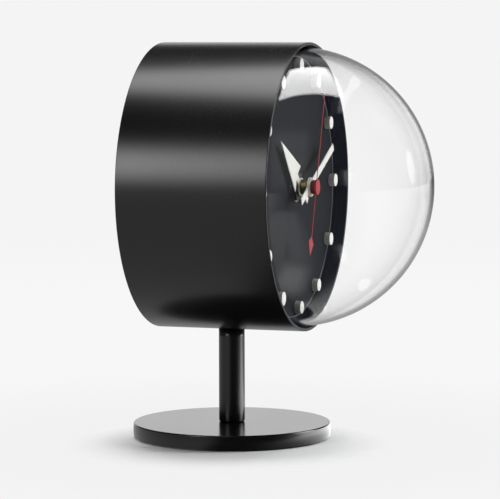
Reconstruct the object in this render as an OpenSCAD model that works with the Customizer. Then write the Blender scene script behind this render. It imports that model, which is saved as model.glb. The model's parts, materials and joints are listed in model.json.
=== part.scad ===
/* [Case] */
// Outside diameter of the tube case
case_d = 110; // [106:0.5:120]
// Wall of the tube case
case_wall = 1.2; // [0.8:0.1:1.8]
// Height of the case axis above the table
axis_h = 97.3; // [85:0.1:120]
// From the stem axis to the front rim
case_front = 31.5; // [29:0.1:38]
// From the stem axis to the rear rim
case_rear = 27; // [25:0.5:40]
// Bevel on both rims of the case
rim_bevel = 0.3; // [0.1:0.05:0.4]

/* [Stand] */
// Diameter of the foot disc
base_d = 76.4; // [60:0.1:96]
// Height of the foot disc's top above the table
base_h = 6; // [5.5:0.1:10]
// Bevel on the foot disc's edges
base_bevel = 0.35; // [0.1:0.05:0.8]
// Diameter of the rubber pad under the foot
pad_d = 68; // [40:1:72]
// Thickness of the rubber pad
pad_t = 1.2; // [0.8:0.1:1.5]
// How far the pad stands proud of the foot
pad_proud = 0.2; // [0.1:0.05:0.5]
// Diameter of the stem
stem_d = 10; // [9.5:0.1:14]
// Bevel at the foot of the stem
stem_bevel = 0.5; // [0.2:0.1:0.8]

/* [Stand screws] */
// Thread diameter of the screw through the foot
base_screw_d = 5; // [4:0.5:5]
// Head diameter of the screw through the foot
base_screw_head_d = 9; // [8:0.5:11]
// Head height of the screw through the foot
base_screw_head_h = 2; // [1.5:0.1:2.2]
// Length of the screw under its head
base_screw_len = 15; // [10:1:16]
// Thread diameter of the screw that holds the case
stem_screw_d = 4; // [3:0.5:4.5]
// Head diameter of the screw that holds the case
stem_screw_head_d = 7; // [6:0.5:9]
// Head height of the screw that holds the case
stem_screw_head_h = 2.6; // [2:0.1:3]
// Length of the screw that holds the case, under its head
stem_screw_len = 13; // [9:1:15]
// Diameter of the curved washer inside the case
saddle_d = 14; // [12:0.5:20]
// Thickness of the curved washer at its middle
saddle_t = 1.6; // [1:0.1:2.5]

/* [Fits] */
// Running clearance round arbors and pipes
run_gap = 0.06; // [0.03:0.01:0.08]
// Clearance round screws and pegs
peg_gap = 0.05; // [0.02:0.01:0.1]
// Clearance of the rings inside the tube
ring_gap = 0.1; // [0.05:0.05:0.2]
// Clearance of the rear cover inside the tube
cover_gap = 0.2; // [0.1:0.05:0.3]

/* [Dial and dome] */
// Depth of the dial's face behind the front rim
dial_recess = 5.5; // [4.5:0.1:7]
// Thickness of the dial
dial_t = 1.5; // [1:0.1:2]
// Gap between the dial's edge and the dome
dial_gap = 2; // [0.5:0.1:3]
// Gap between the dome and the tube
dome_gap = 0.45; // [0.2:0.05:0.8]
// Wall of the clear dome
dome_wall = 1.5; // [1.2:0.1:3]
// Straight skirt at the dome's edge
dome_skirt = 0.8; // [0.2:0.05:1.5]
// Thickness of the ring that carries dial and dome
carrier_t = 3; // [2:0.1:5]
// Width of the ring that carries dial and dome
carrier_w = 8; // [6:0.5:12]

/* [Hour markers] */
// Diameter of a marker
marker_d = 5; // [3:0.1:6]
// Height of a marker above the dial
marker_h = 2.5; // [1:0.1:3]
// From the dial's edge to the middle of a marker
marker_inset = 3.5; // [3.2:0.1:8]
// Diameter of the peg behind a marker
marker_peg_d = 2; // [1:0.1:2.4]
// Length of the peg behind a marker
marker_peg_h = 1; // [0.5:0.1:1]

/* [Hands] */
// Time shown at rest: hour
show_hour = 10; // [0:1:11]
// Time shown at rest: minute
show_minute = 11; // [0:1:59]
// Time shown at rest: second
show_second = 3.05; // [0:0.05:59.9]
// Reach of the hour hand
hour_len = 32; // [24:0.5:36]
// Half width of the hour hand's dart
hour_half = 5.7; // [3:0.1:7]
// Distance from the axis to the dart's trailing corners
hour_barb = 5.7; // [5:0.1:10]
// Reach of the hour hand's tail
hour_tail = 10; // [6:0.5:14]
// Width of the hour hand's tail and neck
hour_neck = 2.4; // [1.5:0.1:4]
// Reach of the minute hand
minute_len = 34.5; // [30:0.5:42]
// Reach of the minute hand's tail
minute_tail = 12; // [6:0.5:16]
// Width of the minute hand
minute_w = 2.9; // [1.5:0.1:4]
// Reach of the second hand's needle
second_len = 38; // [34:0.5:43]
// Width of the second hand's needle
second_w = 0.7; // [0.5:0.1:1.2]
// Inner end of the leaf on the second hand's tail
leaf_from = 19.5; // [12:0.5:22]
// Tip of the leaf on the second hand's tail
leaf_to = 26.8; // [24:0.1:34]
// Width of the leaf on the second hand's tail
leaf_w = 6.4; // [3:0.1:8]
// Diameter of the second hand's middle disc
second_disc_d = 6; // [4:0.1:8]
// Thickness of the second hand's middle disc
second_disc_t = 0.85; // [0.5:0.05:1.2]
// Thickness of the hands
hand_t = 0.45; // [0.3:0.05:0.5]

/* [Movement case] */
// Depth of the movement
mov_t = 16; // [16:0.1:18]
// Wall of the movement case
mov_wall = 1; // [0.8:0.1:1.2]
// Thickness of the rubber gasket behind the dial
gasket_t = 0.5; // [0.3:0.1:1]
// Diameter of the rubber gasket
gasket_d = 28; // [16:1:36]
// Outside diameter of the threaded bush
bush_d = 8; // [7:0.1:9]
// How far the bush stands in front of the dial
bush_proud = 1.4; // [1.3:0.1:1.5]
// Width across the flats of the nut
nut_af = 10; // [9.6:0.1:12]
// Height of the nut
nut_h = 1; // [0.6:0.1:1]
// Thickness of the washer under the nut
nut_washer_t = 0.3; // [0.2:0.05:0.3]
// Diameter of the washer under the nut
nut_washer_d = 11.5; // [10:0.5:14]

/* [Battery] */
// Diameter of the AA cell
cell_d = 14.5; // [13.5:0.1:14.5]
// Length of the AA cell with its cap
cell_len = 50.5; // [49.2:0.1:50.5]
// Clearance round the cell in its bay
cell_gap = 0.3; // [0.2:0.05:0.4]
// Room for the contact at each end of the cell
cell_end = 1.75; // [1.5:0.05:2.5]
// From the inner wall of the movement to the circuit board
board_in = 6; // [5:0.5:7]
// Width of the circuit board
board_w = 18; // [16:0.5:19]
// Diameter of the drop of epoxy over the chip
chip_d = 4.8; // [4:0.1:5.4]
// How far the stator runs on past the coil
stator_end = 2.6; // [2.2:0.1:2.8]
// Wall between the battery bay and the wheels
bay_wall = 0.7; // [0.5:0.05:0.7]
// Gap between that wall and the largest wheel
bay_gap = 0.39; // [0.2:0.01:0.6]

/* [Wheel train] */
// From the middle to the third wheel's arbor
third_reach = 11.9; // [11.8:0.05:12]
// From the middle to the minute work's stud
work_reach = 9.6; // [9.4:0.1:9.8]
// From the middle to the intermediate wheel's arbor
inter_reach = 9; // [8.8:0.1:9.2]
// From the intermediate wheel's arbor to the rotor
rotor_reach = 7; // [6.8:0.1:7.2]
// Share of the pitch that a tooth fills
tooth_share = 0.42; // [0.34:0.01:0.42]
// Height of a tooth above its pitch circle, in modules
tooth_add = 0.7; // [0.5:0.05:0.75]
// Depth of a tooth below its pitch circle, in modules
tooth_ded = 1; // [0.95:0.05:1.1]
// Thickness of a wheel
wheel_t = 1; // [0.7:0.05:1]
// Diameter of the thin arbors
arbor_d = 0.8; // [0.6:0.1:1]
// Diameter of the second hand's arbor
second_arbor_d = 1; // [0.8:0.05:1]
// Outside diameter of the minute pipe
cannon_d = 3; // [2.8:0.1:3]
// Outside diameter of the hour pipe
hour_pipe_d = 4.6; // [4.3:0.1:4.8]
// Diameter of the setting knob
knob_d = 9; // [6:0.5:12]
// How far the setting knob stands behind the movement
knob_h = 6; // [3:0.5:7]

/* [Rear cover] */
// Thickness of the rear cover
cover_t = 2; // [1.5:0.1:3]
// Depth of the rear cover behind the rear rim
cover_recess = 1.5; // [0.5:0.1:3]
// Length of the rear cover's skirt
cover_skirt = 6; // [3:0.5:8]
// Wall of the rear cover's skirt
cover_wall = 1.5; // [1:0.1:2.5]
// Diameter of the finger opening in line with the knob
cover_hole_d = 24; // [18:1:30]
// Width of the ring that the rear cover stops on
stop_w = 2.2; // [1.5:0.1:4]
// Thickness of the ring that the rear cover stops on
stop_t = 2; // [1:0.1:3]

/* [Hidden] */
$fn = 96;
eps = 0.01;
through = 60;
lacquer = "#1c1c1e";
dial_black = "#3a3b3e";
white_paint = "#f6f4ee";
red_paint = "#c8323c";
clear = [0.85, 0.9, 0.92, 0.3];
steel = "#b9bcc0";
brass = "#b79a4c";
plastic = "#26272a";
natural = "#e8e4d8";

case_r = case_d / 2;
tube_r = case_r - case_wall;
base_r = base_d / 2;
base_z = pad_proud;
base_t = base_h - base_z;
pad_recess = pad_t - pad_proud;
stem_r = stem_d / 2;
base_bore_r = base_screw_d / 2 + peg_gap;
counterbore_h = base_screw_head_h + 0.2;
head_seat_z = base_z + pad_recess + counterbore_h;
screw_tip_room = 1;
case_low_z = axis_h - case_r;
saddle_top_z = axis_h - tube_r + saddle_t;

dial_z = case_front - dial_recess;
seat_z = dial_z - dial_t;
dome_r = tube_r - dome_gap;
dome_in_r = dome_r - dome_wall;
dome_z = seat_z + dome_skirt;
dial_r = dome_in_r - dial_gap;
marker_ring_r = dial_r - marker_inset;

mov_front_z = seat_z - gasket_t;
mov_back_z = mov_front_z - mov_t;
plate_z = mov_front_z - mov_wall;
floor_z = mov_back_z + mov_wall;
bush_r = bush_d / 2;
bush_tip_z = dial_z + bush_proud;
washer_z = dial_z + nut_washer_t;

// Heights of the coaxial pipes, counted from the tip of the bush
hour_pipe_r = hour_pipe_d / 2;
cannon_r = cannon_d / 2;
second_r = second_arbor_d / 2;
arbor_r = arbor_d / 2;
bush_in_r = hour_pipe_r + run_gap;
hour_in_r = cannon_r + run_gap;
cannon_in_r = second_r + run_gap;
collet_z = bush_tip_z + 0.2;
collet_h = 3.2;
collet_r = hour_pipe_r + 0.6;
hour_hand_z = collet_z + 0.3;
minute_bush_z = collet_z + collet_h + 0.3;
minute_bush_h = 1.2;
minute_bush_r = 3.7;
minute_neck_r = 2.9;
minute_hand_z = minute_bush_z + 0.2;
second_tube_z = minute_bush_z + minute_bush_h + 0.2;
second_tube_h = 1.4;
second_tube_r = 2.7;
second_hand_z = second_tube_z + second_tube_h;

// Places of the arbors, seen from the front
third_turn = 165;
third_at = third_reach * [cos(third_turn), sin(third_turn)];
work_turn = 60;
work_at = work_reach * [cos(work_turn), sin(work_turn)];
inter_at = [inter_reach, 0];
rotor_at = [inter_reach + rotor_reach, 0];
set_turn = 20;
set_at = work_at + work_reach * [cos(set_turn), sin(set_turn)];

// Teeth of the wheels and pinions
second_pinion_n = 8;
third_n = 60;
third_pinion_n = 8;
minute_n = 64;
cannon_n = 16;
work_n = 48;
work_pinion_n = 12;
hour_n = 48;
second_n = 50;
inter_pinion_n = 10;
inter_n = 60;
rotor_n = 10;
set_n = 16;

// Modules follow from the teeth and the distance between the arbors
third_m = 2 * third_reach / (second_pinion_n + third_n);
minute_m = 2 * third_reach / (third_pinion_n + minute_n);
cannon_m = 2 * work_reach / (cannon_n + work_n);
hour_m = 2 * work_reach / (work_pinion_n + hour_n);
second_m = 2 * inter_reach / (second_n + inter_pinion_n);
inter_m = 2 * rotor_reach / (inter_n + rotor_n);

// The movement's case goes round the cell and the wheels
bay_reach = (minute_n / 2 + tooth_add) * minute_m + bay_gap;
mov_in_x = cell_len / 2 + cell_end;
mov_in_y = bay_reach + bay_wall + cell_d + 2 * cell_gap;
mov_x = mov_in_x + mov_wall;
mov_y = mov_in_y + mov_wall;

// Levels of the wheels, each counted from the floor of the movement
rotor_pinion_z = floor_z + 1;
inter_wheel_z = floor_z + 1.2;
inter_pinion_z = inter_wheel_z + wheel_t + 0.6;
second_wheel_z = inter_pinion_z + 0.2;
second_pinion_z = second_wheel_z + wheel_t + 0.6;
third_wheel_z = second_pinion_z + 0.3;
bridge_z = third_wheel_z + wheel_t + 0.5;
bridge_t = 0.8;
third_pinion_z = bridge_z + bridge_t + 0.4;
minute_wheel_z = third_pinion_z + 0.2;
clutch_z = minute_wheel_z + wheel_t;
clutch_h = 0.7;
cannon_z = clutch_z + clutch_h;
cannon_h = 1.5;
work_wheel_z = cannon_z + 0.2;
hour_wheel_z = cannon_z + cannon_h + 0.8;
pinion_h = 1.6;
cannon_low_z = minute_wheel_z - 0.3;
magnet_r = 2.6;
magnet_h = 2.4;
magnet_z = rotor_pinion_z + pinion_h + 0.3;
stator_z = magnet_z + 0.5;
stator_t = 0.8;
pocket = 0.6;

// Battery bay, at the bottom of the movement and open to the rear
cell_r = cell_d / 2;
cell_at = [0, -mov_in_y + cell_r + cell_gap];
cell_z = plate_z - cell_r - 0.15;
bay_top = -bay_reach - bay_wall;
cap_h = 1.2;
cap_r = 2.75;

// Coil, beside the setting arbor
coil_from = 4;
coil_to = 19;
core_w = 1.8;
core_t = 0.8;
coil_r = 2.9;
flange_r = coil_r + 0.2;
coil_x = mov_in_x - flange_r - 0.2;
core_z = stator_z + stator_t;
stator_hole_r = magnet_r + 0.5;
stator_rim_r = stator_hole_r + 1.7;
stator_low = 3;
stator_top = coil_to + stator_end;
stator_arm_w = 1.9;
stator_arm_x = 16.9;

// Circuit board and contacts
board_x = [board_in - mov_in_x, board_in + board_w - mov_in_x];
board_y = [mov_in_y - 11.5, mov_in_y - 0.8];
board_t = 0.9;
board_z = floor_z + 3.2;
post_r = 1.7;
post_at = [for (s = [-1, 1]) [s * (mov_in_x - post_r - 0.2), mov_in_y - post_r - 0.2]];
lug_screw_d = 2;
lug_screw_len = 8;
lug_head_r = 1.9;
strip_t = 0.3;
strip_w = 3;
contact_gap = 0.1;
spring_out = cell_end - contact_gap;

// Bridge plate and its pillars
pillar_r = 1.5;
pillar_side = mov_in_x - 5;
pillar_low = 4.2 - bay_reach;
pillar_at = [[-pillar_side, pillar_low], [pillar_side, pillar_low - 0.3], [2.5, 16.5]];
pillar_pin_r = 0.6;

// Rear cover
cover_z = cover_recess - case_rear;
cover_in_z = cover_z + cover_t;
skirt_z = cover_in_z + cover_skirt;
cover_r = tube_r - cover_gap;
ring_r = tube_r - ring_gap;

// Angles of the hands, clockwise from twelve
second_turn = 6 * show_second;
minute_turn = 6 * (show_minute + show_second / 60);
hour_turn = 30 * (show_hour + (show_minute + show_second / 60) / 60);

// Phase of a wheel that meshes with another one at the given direction
function mesh_phase(turn, phase1, n1, n2) = turn + 180 + 180 / n2 - (phase1 - turn) * n1 / n2;

third_phase = mesh_phase(third_turn, 0, second_pinion_n, third_n);
minute_phase = mesh_phase(third_turn - 180, 0, third_pinion_n, minute_n);
work_phase = mesh_phase(work_turn, 0, cannon_n, work_n);
hour_phase = mesh_phase(work_turn + 180, 0, work_pinion_n, hour_n);
set_phase = mesh_phase(set_turn, work_phase, work_n, set_n);
inter_phase = mesh_phase(0, 0, second_n, inter_pinion_n);
rotor_phase = mesh_phase(0, 0, inter_n, rotor_n);

// The head's own frame: x to the right, y up and z towards the viewer
module head() {
    translate([0, 0, axis_h]) rotate([90, 0, 0]) children();
}

module ring(r_out, r_in, z, h) {
    translate([0, 0, z]) difference() {
        cylinder(r = r_out, h = h);
        translate([0, 0, -1]) cylinder(r = r_in, h = h + 2);
    }
}

module rod(r, z, h) {
    translate([0, 0, z]) cylinder(r = r, h = h);
}

module bar(x, y, z) {
    translate([x[0], y[0], z[0]]) cube([x[1] - x[0], y[1] - y[0], z[1] - z[0]]);
}

// One tooth as radius and angle: root, pitch circle and tip on each side
function tooth(n, m) =
    let (pitch_r = n * m / 2,
         tip_r = pitch_r + tooth_add * m,
         root_r = pitch_r - tooth_ded * m,
         half = tooth_share * 180 / n,
         tip_half = (half * PI / 180 * pitch_r - tooth_add * m * tan(20)) / tip_r * 180 / PI)
    [[root_r, -half], [pitch_r, -half], [tip_r, -tip_half],
     [tip_r, tip_half], [pitch_r, half], [root_r, half]];

module gear(n, m, z, h, phase, bore_r = 0) {
    translate([0, 0, z]) linear_extrude(h) difference() {
        polygon([for (i = [0:n - 1], p = tooth(n, m))
            let (a = phase + 360 * i / n + p[1]) p[0] * [cos(a), sin(a)]]);
        if (bore_r > 0) circle(r = bore_r);
    }
}

// Case and dial

module case_tube() {
    length = case_front + case_rear;
    color(lacquer) difference() {
        head() translate([0, 0, -case_rear]) rotate_extrude() polygon([
            [tube_r, 0], [case_r - rim_bevel, 0], [case_r, rim_bevel],
            [case_r, length - rim_bevel], [case_r - rim_bevel, length], [tube_r, length]]);
        translate([0, 0, case_low_z - through / 2])
            cylinder(r = stem_screw_d / 2 + 2 * peg_gap, h = through);
    }
}

module carrier_ring() {
    color(plastic) head() ring(ring_r, ring_r - carrier_w, seat_z - carrier_t, carrier_t);
}

module rear_stop_ring() {
    color(plastic) head() ring(ring_r, ring_r - stop_w, skirt_z, stop_t);
}

module rear_cover() {
    color(plastic) head() difference() {
        union() {
            rod(cover_r, cover_z, cover_t);
            ring(cover_r, cover_r - cover_wall, cover_z, cover_t + cover_skirt);
        }
        translate(set_at) rod(cover_hole_d / 2, cover_z - 1, cover_t + 2);
    }
}

module dial_plate() {
    color(dial_black) head() difference() {
        rod(dial_r, seat_z, dial_t);
        rod(bush_r + peg_gap, seat_z - 1, dial_t + 2);
        for (i = [1:12]) rotate(-30 * i) translate([0, marker_ring_r])
            rod(marker_peg_d / 2 + peg_gap, seat_z - 1, dial_t + 2);
    }
}

module hour_marker(i) {
    bevel = 0.15;
    color(white_paint) head() rotate(-30 * i) translate([0, marker_ring_r, dial_z])
        rotate_extrude() polygon([
            [0, -marker_peg_h], [marker_peg_d / 2, -marker_peg_h], [marker_peg_d / 2, 0],
            [marker_d / 2, 0], [marker_d / 2, marker_h - bevel],
            [marker_d / 2 - bevel, marker_h], [0, marker_h]]);
}

module dome() {
    color(clear) head() {
        ring(dome_r, dome_in_r, seat_z, dome_skirt);
        translate([0, 0, dome_z]) intersection() {
            difference() {
                sphere(r = dome_r);
                sphere(r = dome_in_r);
            }
            cylinder(r = dome_r + 1, h = dome_r + 1);
        }
    }
}

// Stand

module stem() {
    color(lacquer) difference() {
        union() {
            translate([0, 0, base_h]) cylinder(r1 = stem_r - stem_bevel, r2 = stem_r, h = stem_bevel);
            translate([0, 0, base_h + stem_bevel]) cylinder(r = stem_r, h = case_low_z + 3 - base_h);
        }
        head() translate([0, 0, -through / 2]) cylinder(r = case_r, h = through, $fn = 256);
        translate([0, 0, base_h - 1])
            cylinder(r = base_bore_r, h = head_seat_z + base_screw_len + screw_tip_room - base_h + 1);
        translate([0, 0, saddle_top_z - stem_screw_len - screw_tip_room])
            cylinder(r = stem_screw_d / 2 + peg_gap, h = through);
    }
}

module base_disc() {
    color(lacquer) difference() {
        translate([0, 0, base_z]) rotate_extrude() polygon([
            [0, 0], [base_r - base_bevel, 0], [base_r, base_bevel],
            [base_r, base_t - base_bevel], [base_r - base_bevel, base_t], [0, base_t]]);
        translate([0, 0, base_z - 1]) cylinder(r = pad_d / 2 + 2 * peg_gap, h = pad_recess + 1);
        translate([0, 0, base_z]) cylinder(r = base_screw_head_d / 2 + peg_gap, h = head_seat_z - base_z);
        translate([0, 0, base_z]) cylinder(r = base_bore_r, h = base_t + 1);
    }
}

module base_pad() {
    color("#151515") cylinder(r = pad_d / 2, h = pad_t);
}

module base_screw() {
    slot_w = 1.2;
    color(steel) difference() {
        union() {
            translate([0, 0, head_seat_z - base_screw_head_h])
                cylinder(r = base_screw_head_d / 2, h = base_screw_head_h);
            translate([0, 0, head_seat_z]) cylinder(r = base_screw_d / 2, h = base_screw_len);
        }
        translate([-base_screw_d, -slot_w / 2, head_seat_z - base_screw_head_h - 1])
            cube([2 * base_screw_d, slot_w, 1.8]);
    }
}

module stem_screw() {
    slot_w = 1;
    color(steel) difference() {
        union() {
            translate([0, 0, saddle_top_z]) cylinder(r = stem_screw_head_d / 2, h = stem_screw_head_h);
            translate([0, 0, saddle_top_z - stem_screw_len])
                cylinder(r = stem_screw_d / 2, h = stem_screw_len);
        }
        translate([-stem_screw_head_d, -slot_w / 2, saddle_top_z + stem_screw_head_h - 1])
            cube([2 * stem_screw_head_d, slot_w, 2]);
    }
}

module saddle_washer() {
    color(steel) difference() {
        intersection() {
            translate([0, 0, axis_h - tube_r - 2]) cylinder(r = saddle_d / 2, h = saddle_t + 2);
            head() translate([0, 0, -through / 2]) cylinder(r = tube_r, h = through, $fn = 256);
        }
        translate([0, 0, case_low_z]) cylinder(r = stem_screw_d / 2 + 2 * peg_gap, h = through);
    }
}

// Movement case

module front_housing() {
    lip = 1.2;
    lip_x = mov_in_x - 2 * peg_gap;
    lip_y = mov_in_y - 2 * peg_gap;
    color(plastic) head() difference() {
        union() {
            bar([-mov_x, mov_x], [-mov_y, mov_y], [plate_z, mov_front_z]);
            bar([-lip_x, lip_x], [bay_top + bay_wall + peg_gap, lip_y], [plate_z - lip / 2, plate_z]);
            rod(bush_r, mov_front_z - eps, bush_tip_z - mov_front_z + eps);
            translate(work_at) rod(arbor_r, work_wheel_z - 0.4, plate_z - work_wheel_z);
        }
        rod(bush_in_r, plate_z - lip, through);
        rod(hour_in_r + 6.5, plate_z - lip, lip);
        translate(third_at) rod(arbor_r + run_gap, plate_z - lip, lip + pocket);
        translate(set_at) rod(arbor_r + run_gap, plate_z - lip, lip + pocket);
        for (p = post_at) translate(p) {
            rod(lug_screw_d / 2 + peg_gap, plate_z - lip, 4);
            rod(post_r + peg_gap, plate_z - lip, lip);
        }
    }
}

module rear_housing() {
    color(plastic) head() difference() {
        union() {
            difference() {
                bar([-mov_x, mov_x], [-mov_y, mov_y], [mov_back_z, plate_z]);
                bar([-mov_in_x, mov_in_x], [bay_top + bay_wall, mov_in_y], [floor_z, mov_front_z]);
                bar([-mov_in_x, mov_in_x], [-mov_in_y, bay_top], [mov_back_z - 1, mov_front_z]);
            }
            for (p = post_at) translate(p) rod(post_r, floor_z - eps, plate_z - floor_z);
            for (p = pillar_at) translate(p) {
                rod(pillar_r, floor_z - eps, bridge_z - floor_z + eps);
                rod(pillar_pin_r, floor_z, bridge_z + bridge_t - floor_z);
            }
            for (x = board_x, y = [board_y[0] + 2, board_y[1] - 3])
                translate([x + 1.4 * (x < -10 ? 1 : -1), y]) rod(1, floor_z - eps, board_z - floor_z + eps);
        }
        for (p = post_at) translate(p)
            rod(lug_screw_d / 2 + peg_gap, plate_z - lug_screw_len, lug_screw_len + 1);
        for (p = [third_at, inter_at, rotor_at]) translate(p)
            rod(arbor_r + run_gap, floor_z - pocket, pocket + 1);
        rod(second_r + run_gap, floor_z - pocket, pocket + 1);
        translate(set_at) rod(arbor_r + run_gap, mov_back_z - 1, mov_wall + 2);
        bar([mov_in_x - spring_out - 0.1, mov_in_x - spring_out + strip_w / 2 + 0.1],
            [bay_top - 1, bay_top + bay_wall + 1], [floor_z, floor_z + 2 * strip_t]);
        bar([-mov_in_x, -mov_in_x + 2 * strip_t], [bay_top - 1, bay_top + bay_wall + 1],
            [cell_z - strip_w / 2 - 0.2, cell_z + strip_w / 2 + 0.2]);
    }
}

module housing_screws() {
    color(steel) head() for (p = post_at) translate(p) {
        rod(lug_screw_d / 2, mov_front_z - lug_screw_len, lug_screw_len);
        rod(lug_head_r, mov_front_z, gasket_t - 0.1);
    }
}

module train_bridge() {
    color(natural) head() difference() {
        translate([0, 0, bridge_z]) linear_extrude(bridge_t)
            hull() for (p = pillar_at) translate(p) circle(r = pillar_r + 1.6, $fn = 32);
        for (p = pillar_at) translate(p) rod(pillar_pin_r + peg_gap, bridge_z - 1, bridge_t + 2);
        for (p = [third_at, inter_at, rotor_at]) translate(p)
            rod(arbor_r + run_gap, bridge_z - 1, bridge_t + 2);
        rod(second_r + run_gap, bridge_z - 1, bridge_t + 2);
    }
}

module dial_gasket() {
    color("#2b2b2b") head() ring(gasket_d / 2, bush_r + peg_gap, mov_front_z, gasket_t);
}

module bush_washer() {
    color(steel) head() ring(nut_washer_d / 2, bush_r + peg_gap, dial_z, nut_washer_t);
}

module bush_nut() {
    color("#232323") head() difference() {
        translate([0, 0, washer_z]) cylinder(r = nut_af / sqrt(3), h = nut_h, $fn = 6);
        rod(bush_r + peg_gap, washer_z - 1, nut_h + 2);
    }
}

// Wheels

module hour_wheel() {
    color(natural) head() difference() {
        union() {
            gear(hour_n, hour_m, hour_wheel_z, wheel_t, hour_phase);
            rod(hour_pipe_r, hour_wheel_z - 0.3, collet_z + collet_h - 0.3 - hour_wheel_z);
        }
        rod(hour_in_r, hour_wheel_z - 1, through);
    }
}

module hour_collet() {
    color(brass) head() ring(collet_r, hour_pipe_r + peg_gap, collet_z, collet_h);
}

module hour_hand() {
    eye_r = 3.5;
    base_y = hour_barb + 1.6;
    neck = hour_neck / 2;
    color(white_paint) head() rotate(-hour_turn) translate([0, 0, hour_hand_z])
        difference() {
            union() {
                linear_extrude(hand_t) polygon([
                    [0, hour_len], [hour_half, hour_barb], [neck, base_y], [neck, -hour_tail],
                    [-neck, -hour_tail], [-neck, base_y], [-hour_half, hour_barb]]);
                cylinder(r = eye_r, h = hand_t);
            }
            rod(collet_r + peg_gap, -1, hand_t + 2);
        }
}

module cannon_pinion() {
    color(brass) head() difference() {
        union() {
            gear(cannon_n, cannon_m, cannon_z, cannon_h, 0);
            rod(cannon_r, cannon_low_z, minute_bush_z + minute_bush_h - 0.1 - cannon_low_z);
        }
        rod(cannon_in_r, cannon_low_z - 1, through);
    }
}

module minute_wheel() {
    color(brass) head() gear(minute_n, minute_m, minute_wheel_z, wheel_t, minute_phase, cannon_r + run_gap);
}

module clutch_spring() {
    gap = 0.05;
    color(steel) head() ring(cannon_r + 1.3, cannon_r + run_gap, clutch_z + gap, clutch_h - 2 * gap);
}

module minute_bush() {
    cap_z = minute_hand_z + hand_t + peg_gap;
    color("#e9e7df") head() difference() {
        union() {
            rod(minute_neck_r, minute_bush_z, minute_bush_h);
            rod(minute_bush_r, cap_z, minute_bush_z + minute_bush_h - cap_z);
        }
        rod(cannon_r + peg_gap, minute_bush_z - 1, minute_bush_h + 2);
    }
}

module minute_hand() {
    color(white_paint) head() rotate(-minute_turn) translate([0, 0, minute_hand_z])
        difference() {
            union() {
                bar([-minute_w / 2, minute_w / 2], [-minute_tail, minute_len], [0, hand_t]);
                cylinder(r = minute_bush_r, h = hand_t);
            }
            rod(minute_neck_r + peg_gap, -1, hand_t + 2);
        }
}

module minute_work_wheel() {
    color(natural) head() translate(work_at) difference() {
        union() {
            gear(work_n, cannon_m, work_wheel_z, wheel_t, work_phase);
            gear(work_pinion_n, hour_m, work_wheel_z, hour_wheel_z + wheel_t - work_wheel_z, 0);
        }
        rod(arbor_r + run_gap, work_wheel_z - 1, through);
    }
}

module third_wheel() {
    color(natural) head() translate(third_at) {
        gear(third_n, third_m, third_wheel_z, wheel_t, third_phase);
        gear(third_pinion_n, minute_m, third_pinion_z, wheel_t + 0.4, 0);
        rod(arbor_r, floor_z - pocket + 0.1, plate_z + pocket - 0.1 - floor_z + pocket - 0.1);
    }
}

module second_arbor() {
    low_z = floor_z - pocket + 0.1;
    color(steel) head() rod(second_r, low_z, second_hand_z + second_disc_t - low_z);
}

module second_wheel() {
    color(natural) head() difference() {
        union() {
            gear(second_n, second_m, second_wheel_z, wheel_t, 0);
            gear(second_pinion_n, third_m, second_wheel_z, second_pinion_z + pinion_h - second_wheel_z, 0);
        }
        rod(second_r + eps, second_wheel_z - 1, through);
    }
}

module second_tube() {
    color("#7c2a2a") head() ring(second_tube_r, second_r + eps, second_tube_z, second_tube_h);
}

module second_hand() {
    widest = leaf_from + (leaf_to - leaf_from) * 0.3;
    half = second_w / 2;
    color(red_paint) head() rotate(-second_turn) translate([0, 0, second_hand_z])
        difference() {
            union() {
                linear_extrude(hand_t) polygon([
                    [half, second_len], [half, -leaf_from], [leaf_w / 2, -widest], [0, -leaf_to],
                    [-leaf_w / 2, -widest], [-half, -leaf_from], [-half, second_len]]);
                cylinder(r = second_disc_d / 2, h = second_disc_t);
            }
            rod(second_r + eps, -1, second_disc_t + 2);
        }
}

module intermediate_wheel() {
    color(natural) head() translate(inter_at) {
        gear(inter_n, inter_m, inter_wheel_z, wheel_t, 0);
        gear(inter_pinion_n, second_m, inter_wheel_z,
            inter_pinion_z + pinion_h - inter_wheel_z, inter_phase);
        rod(arbor_r, floor_z - pocket + 0.1, bridge_z + bridge_t - floor_z + pocket - 0.1);
    }
}

module rotor_pinion() {
    color(natural) head() translate(rotor_at) {
        gear(rotor_n, inter_m, rotor_pinion_z, pinion_h, rotor_phase);
        rod(arbor_r, floor_z - pocket + 0.1, bridge_z + bridge_t - floor_z + pocket - 0.1);
    }
}

module rotor_magnet() {
    color("#3c3c40") head() translate(rotor_at) ring(magnet_r, arbor_r + eps, magnet_z, magnet_h);
}

module set_knob() {
    color(plastic) head() translate(set_at) {
        rod(arbor_r, mov_back_z - 0.5, plate_z + pocket - mov_back_z);
        difference() {
            rod(knob_d / 2, mov_back_z - 0.3 - knob_h, knob_h);
            for (i = [0:11]) rotate(30 * i) translate([knob_d / 2 + 0.3, 0])
                rod(0.8, mov_back_z - knob_h - 1, knob_h + 2);
        }
    }
}

module set_pinion() {
    color(natural) head() translate(set_at)
        gear(set_n, cannon_m, work_wheel_z - 0.2, wheel_t + 0.4, set_phase, arbor_r + eps);
}

// Motor and electronics

module stator() {
    color(steel) head() difference() {
        union() {
            translate(rotor_at) rod(stator_rim_r, stator_z, stator_t);
            bar([rotor_at[0], coil_x + core_w / 2], [-1.2, stator_low], [stator_z, core_z]);
            bar([stator_arm_x - stator_arm_w / 2, stator_arm_x + stator_arm_w / 2],
                [0, stator_top], [stator_z, core_z]);
            bar([stator_arm_x - stator_arm_w / 2, coil_x + core_w / 2],
                [stator_top - 2, stator_top], [stator_z, core_z]);
        }
        translate(rotor_at) rod(stator_hole_r, stator_z - 1, stator_t + 2);
    }
}

module coil_core() {
    color(steel) head() bar([coil_x - core_w / 2, coil_x + core_w / 2],
        [stator_low - 2, stator_top], [core_z, core_z + core_t]);
}

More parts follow.
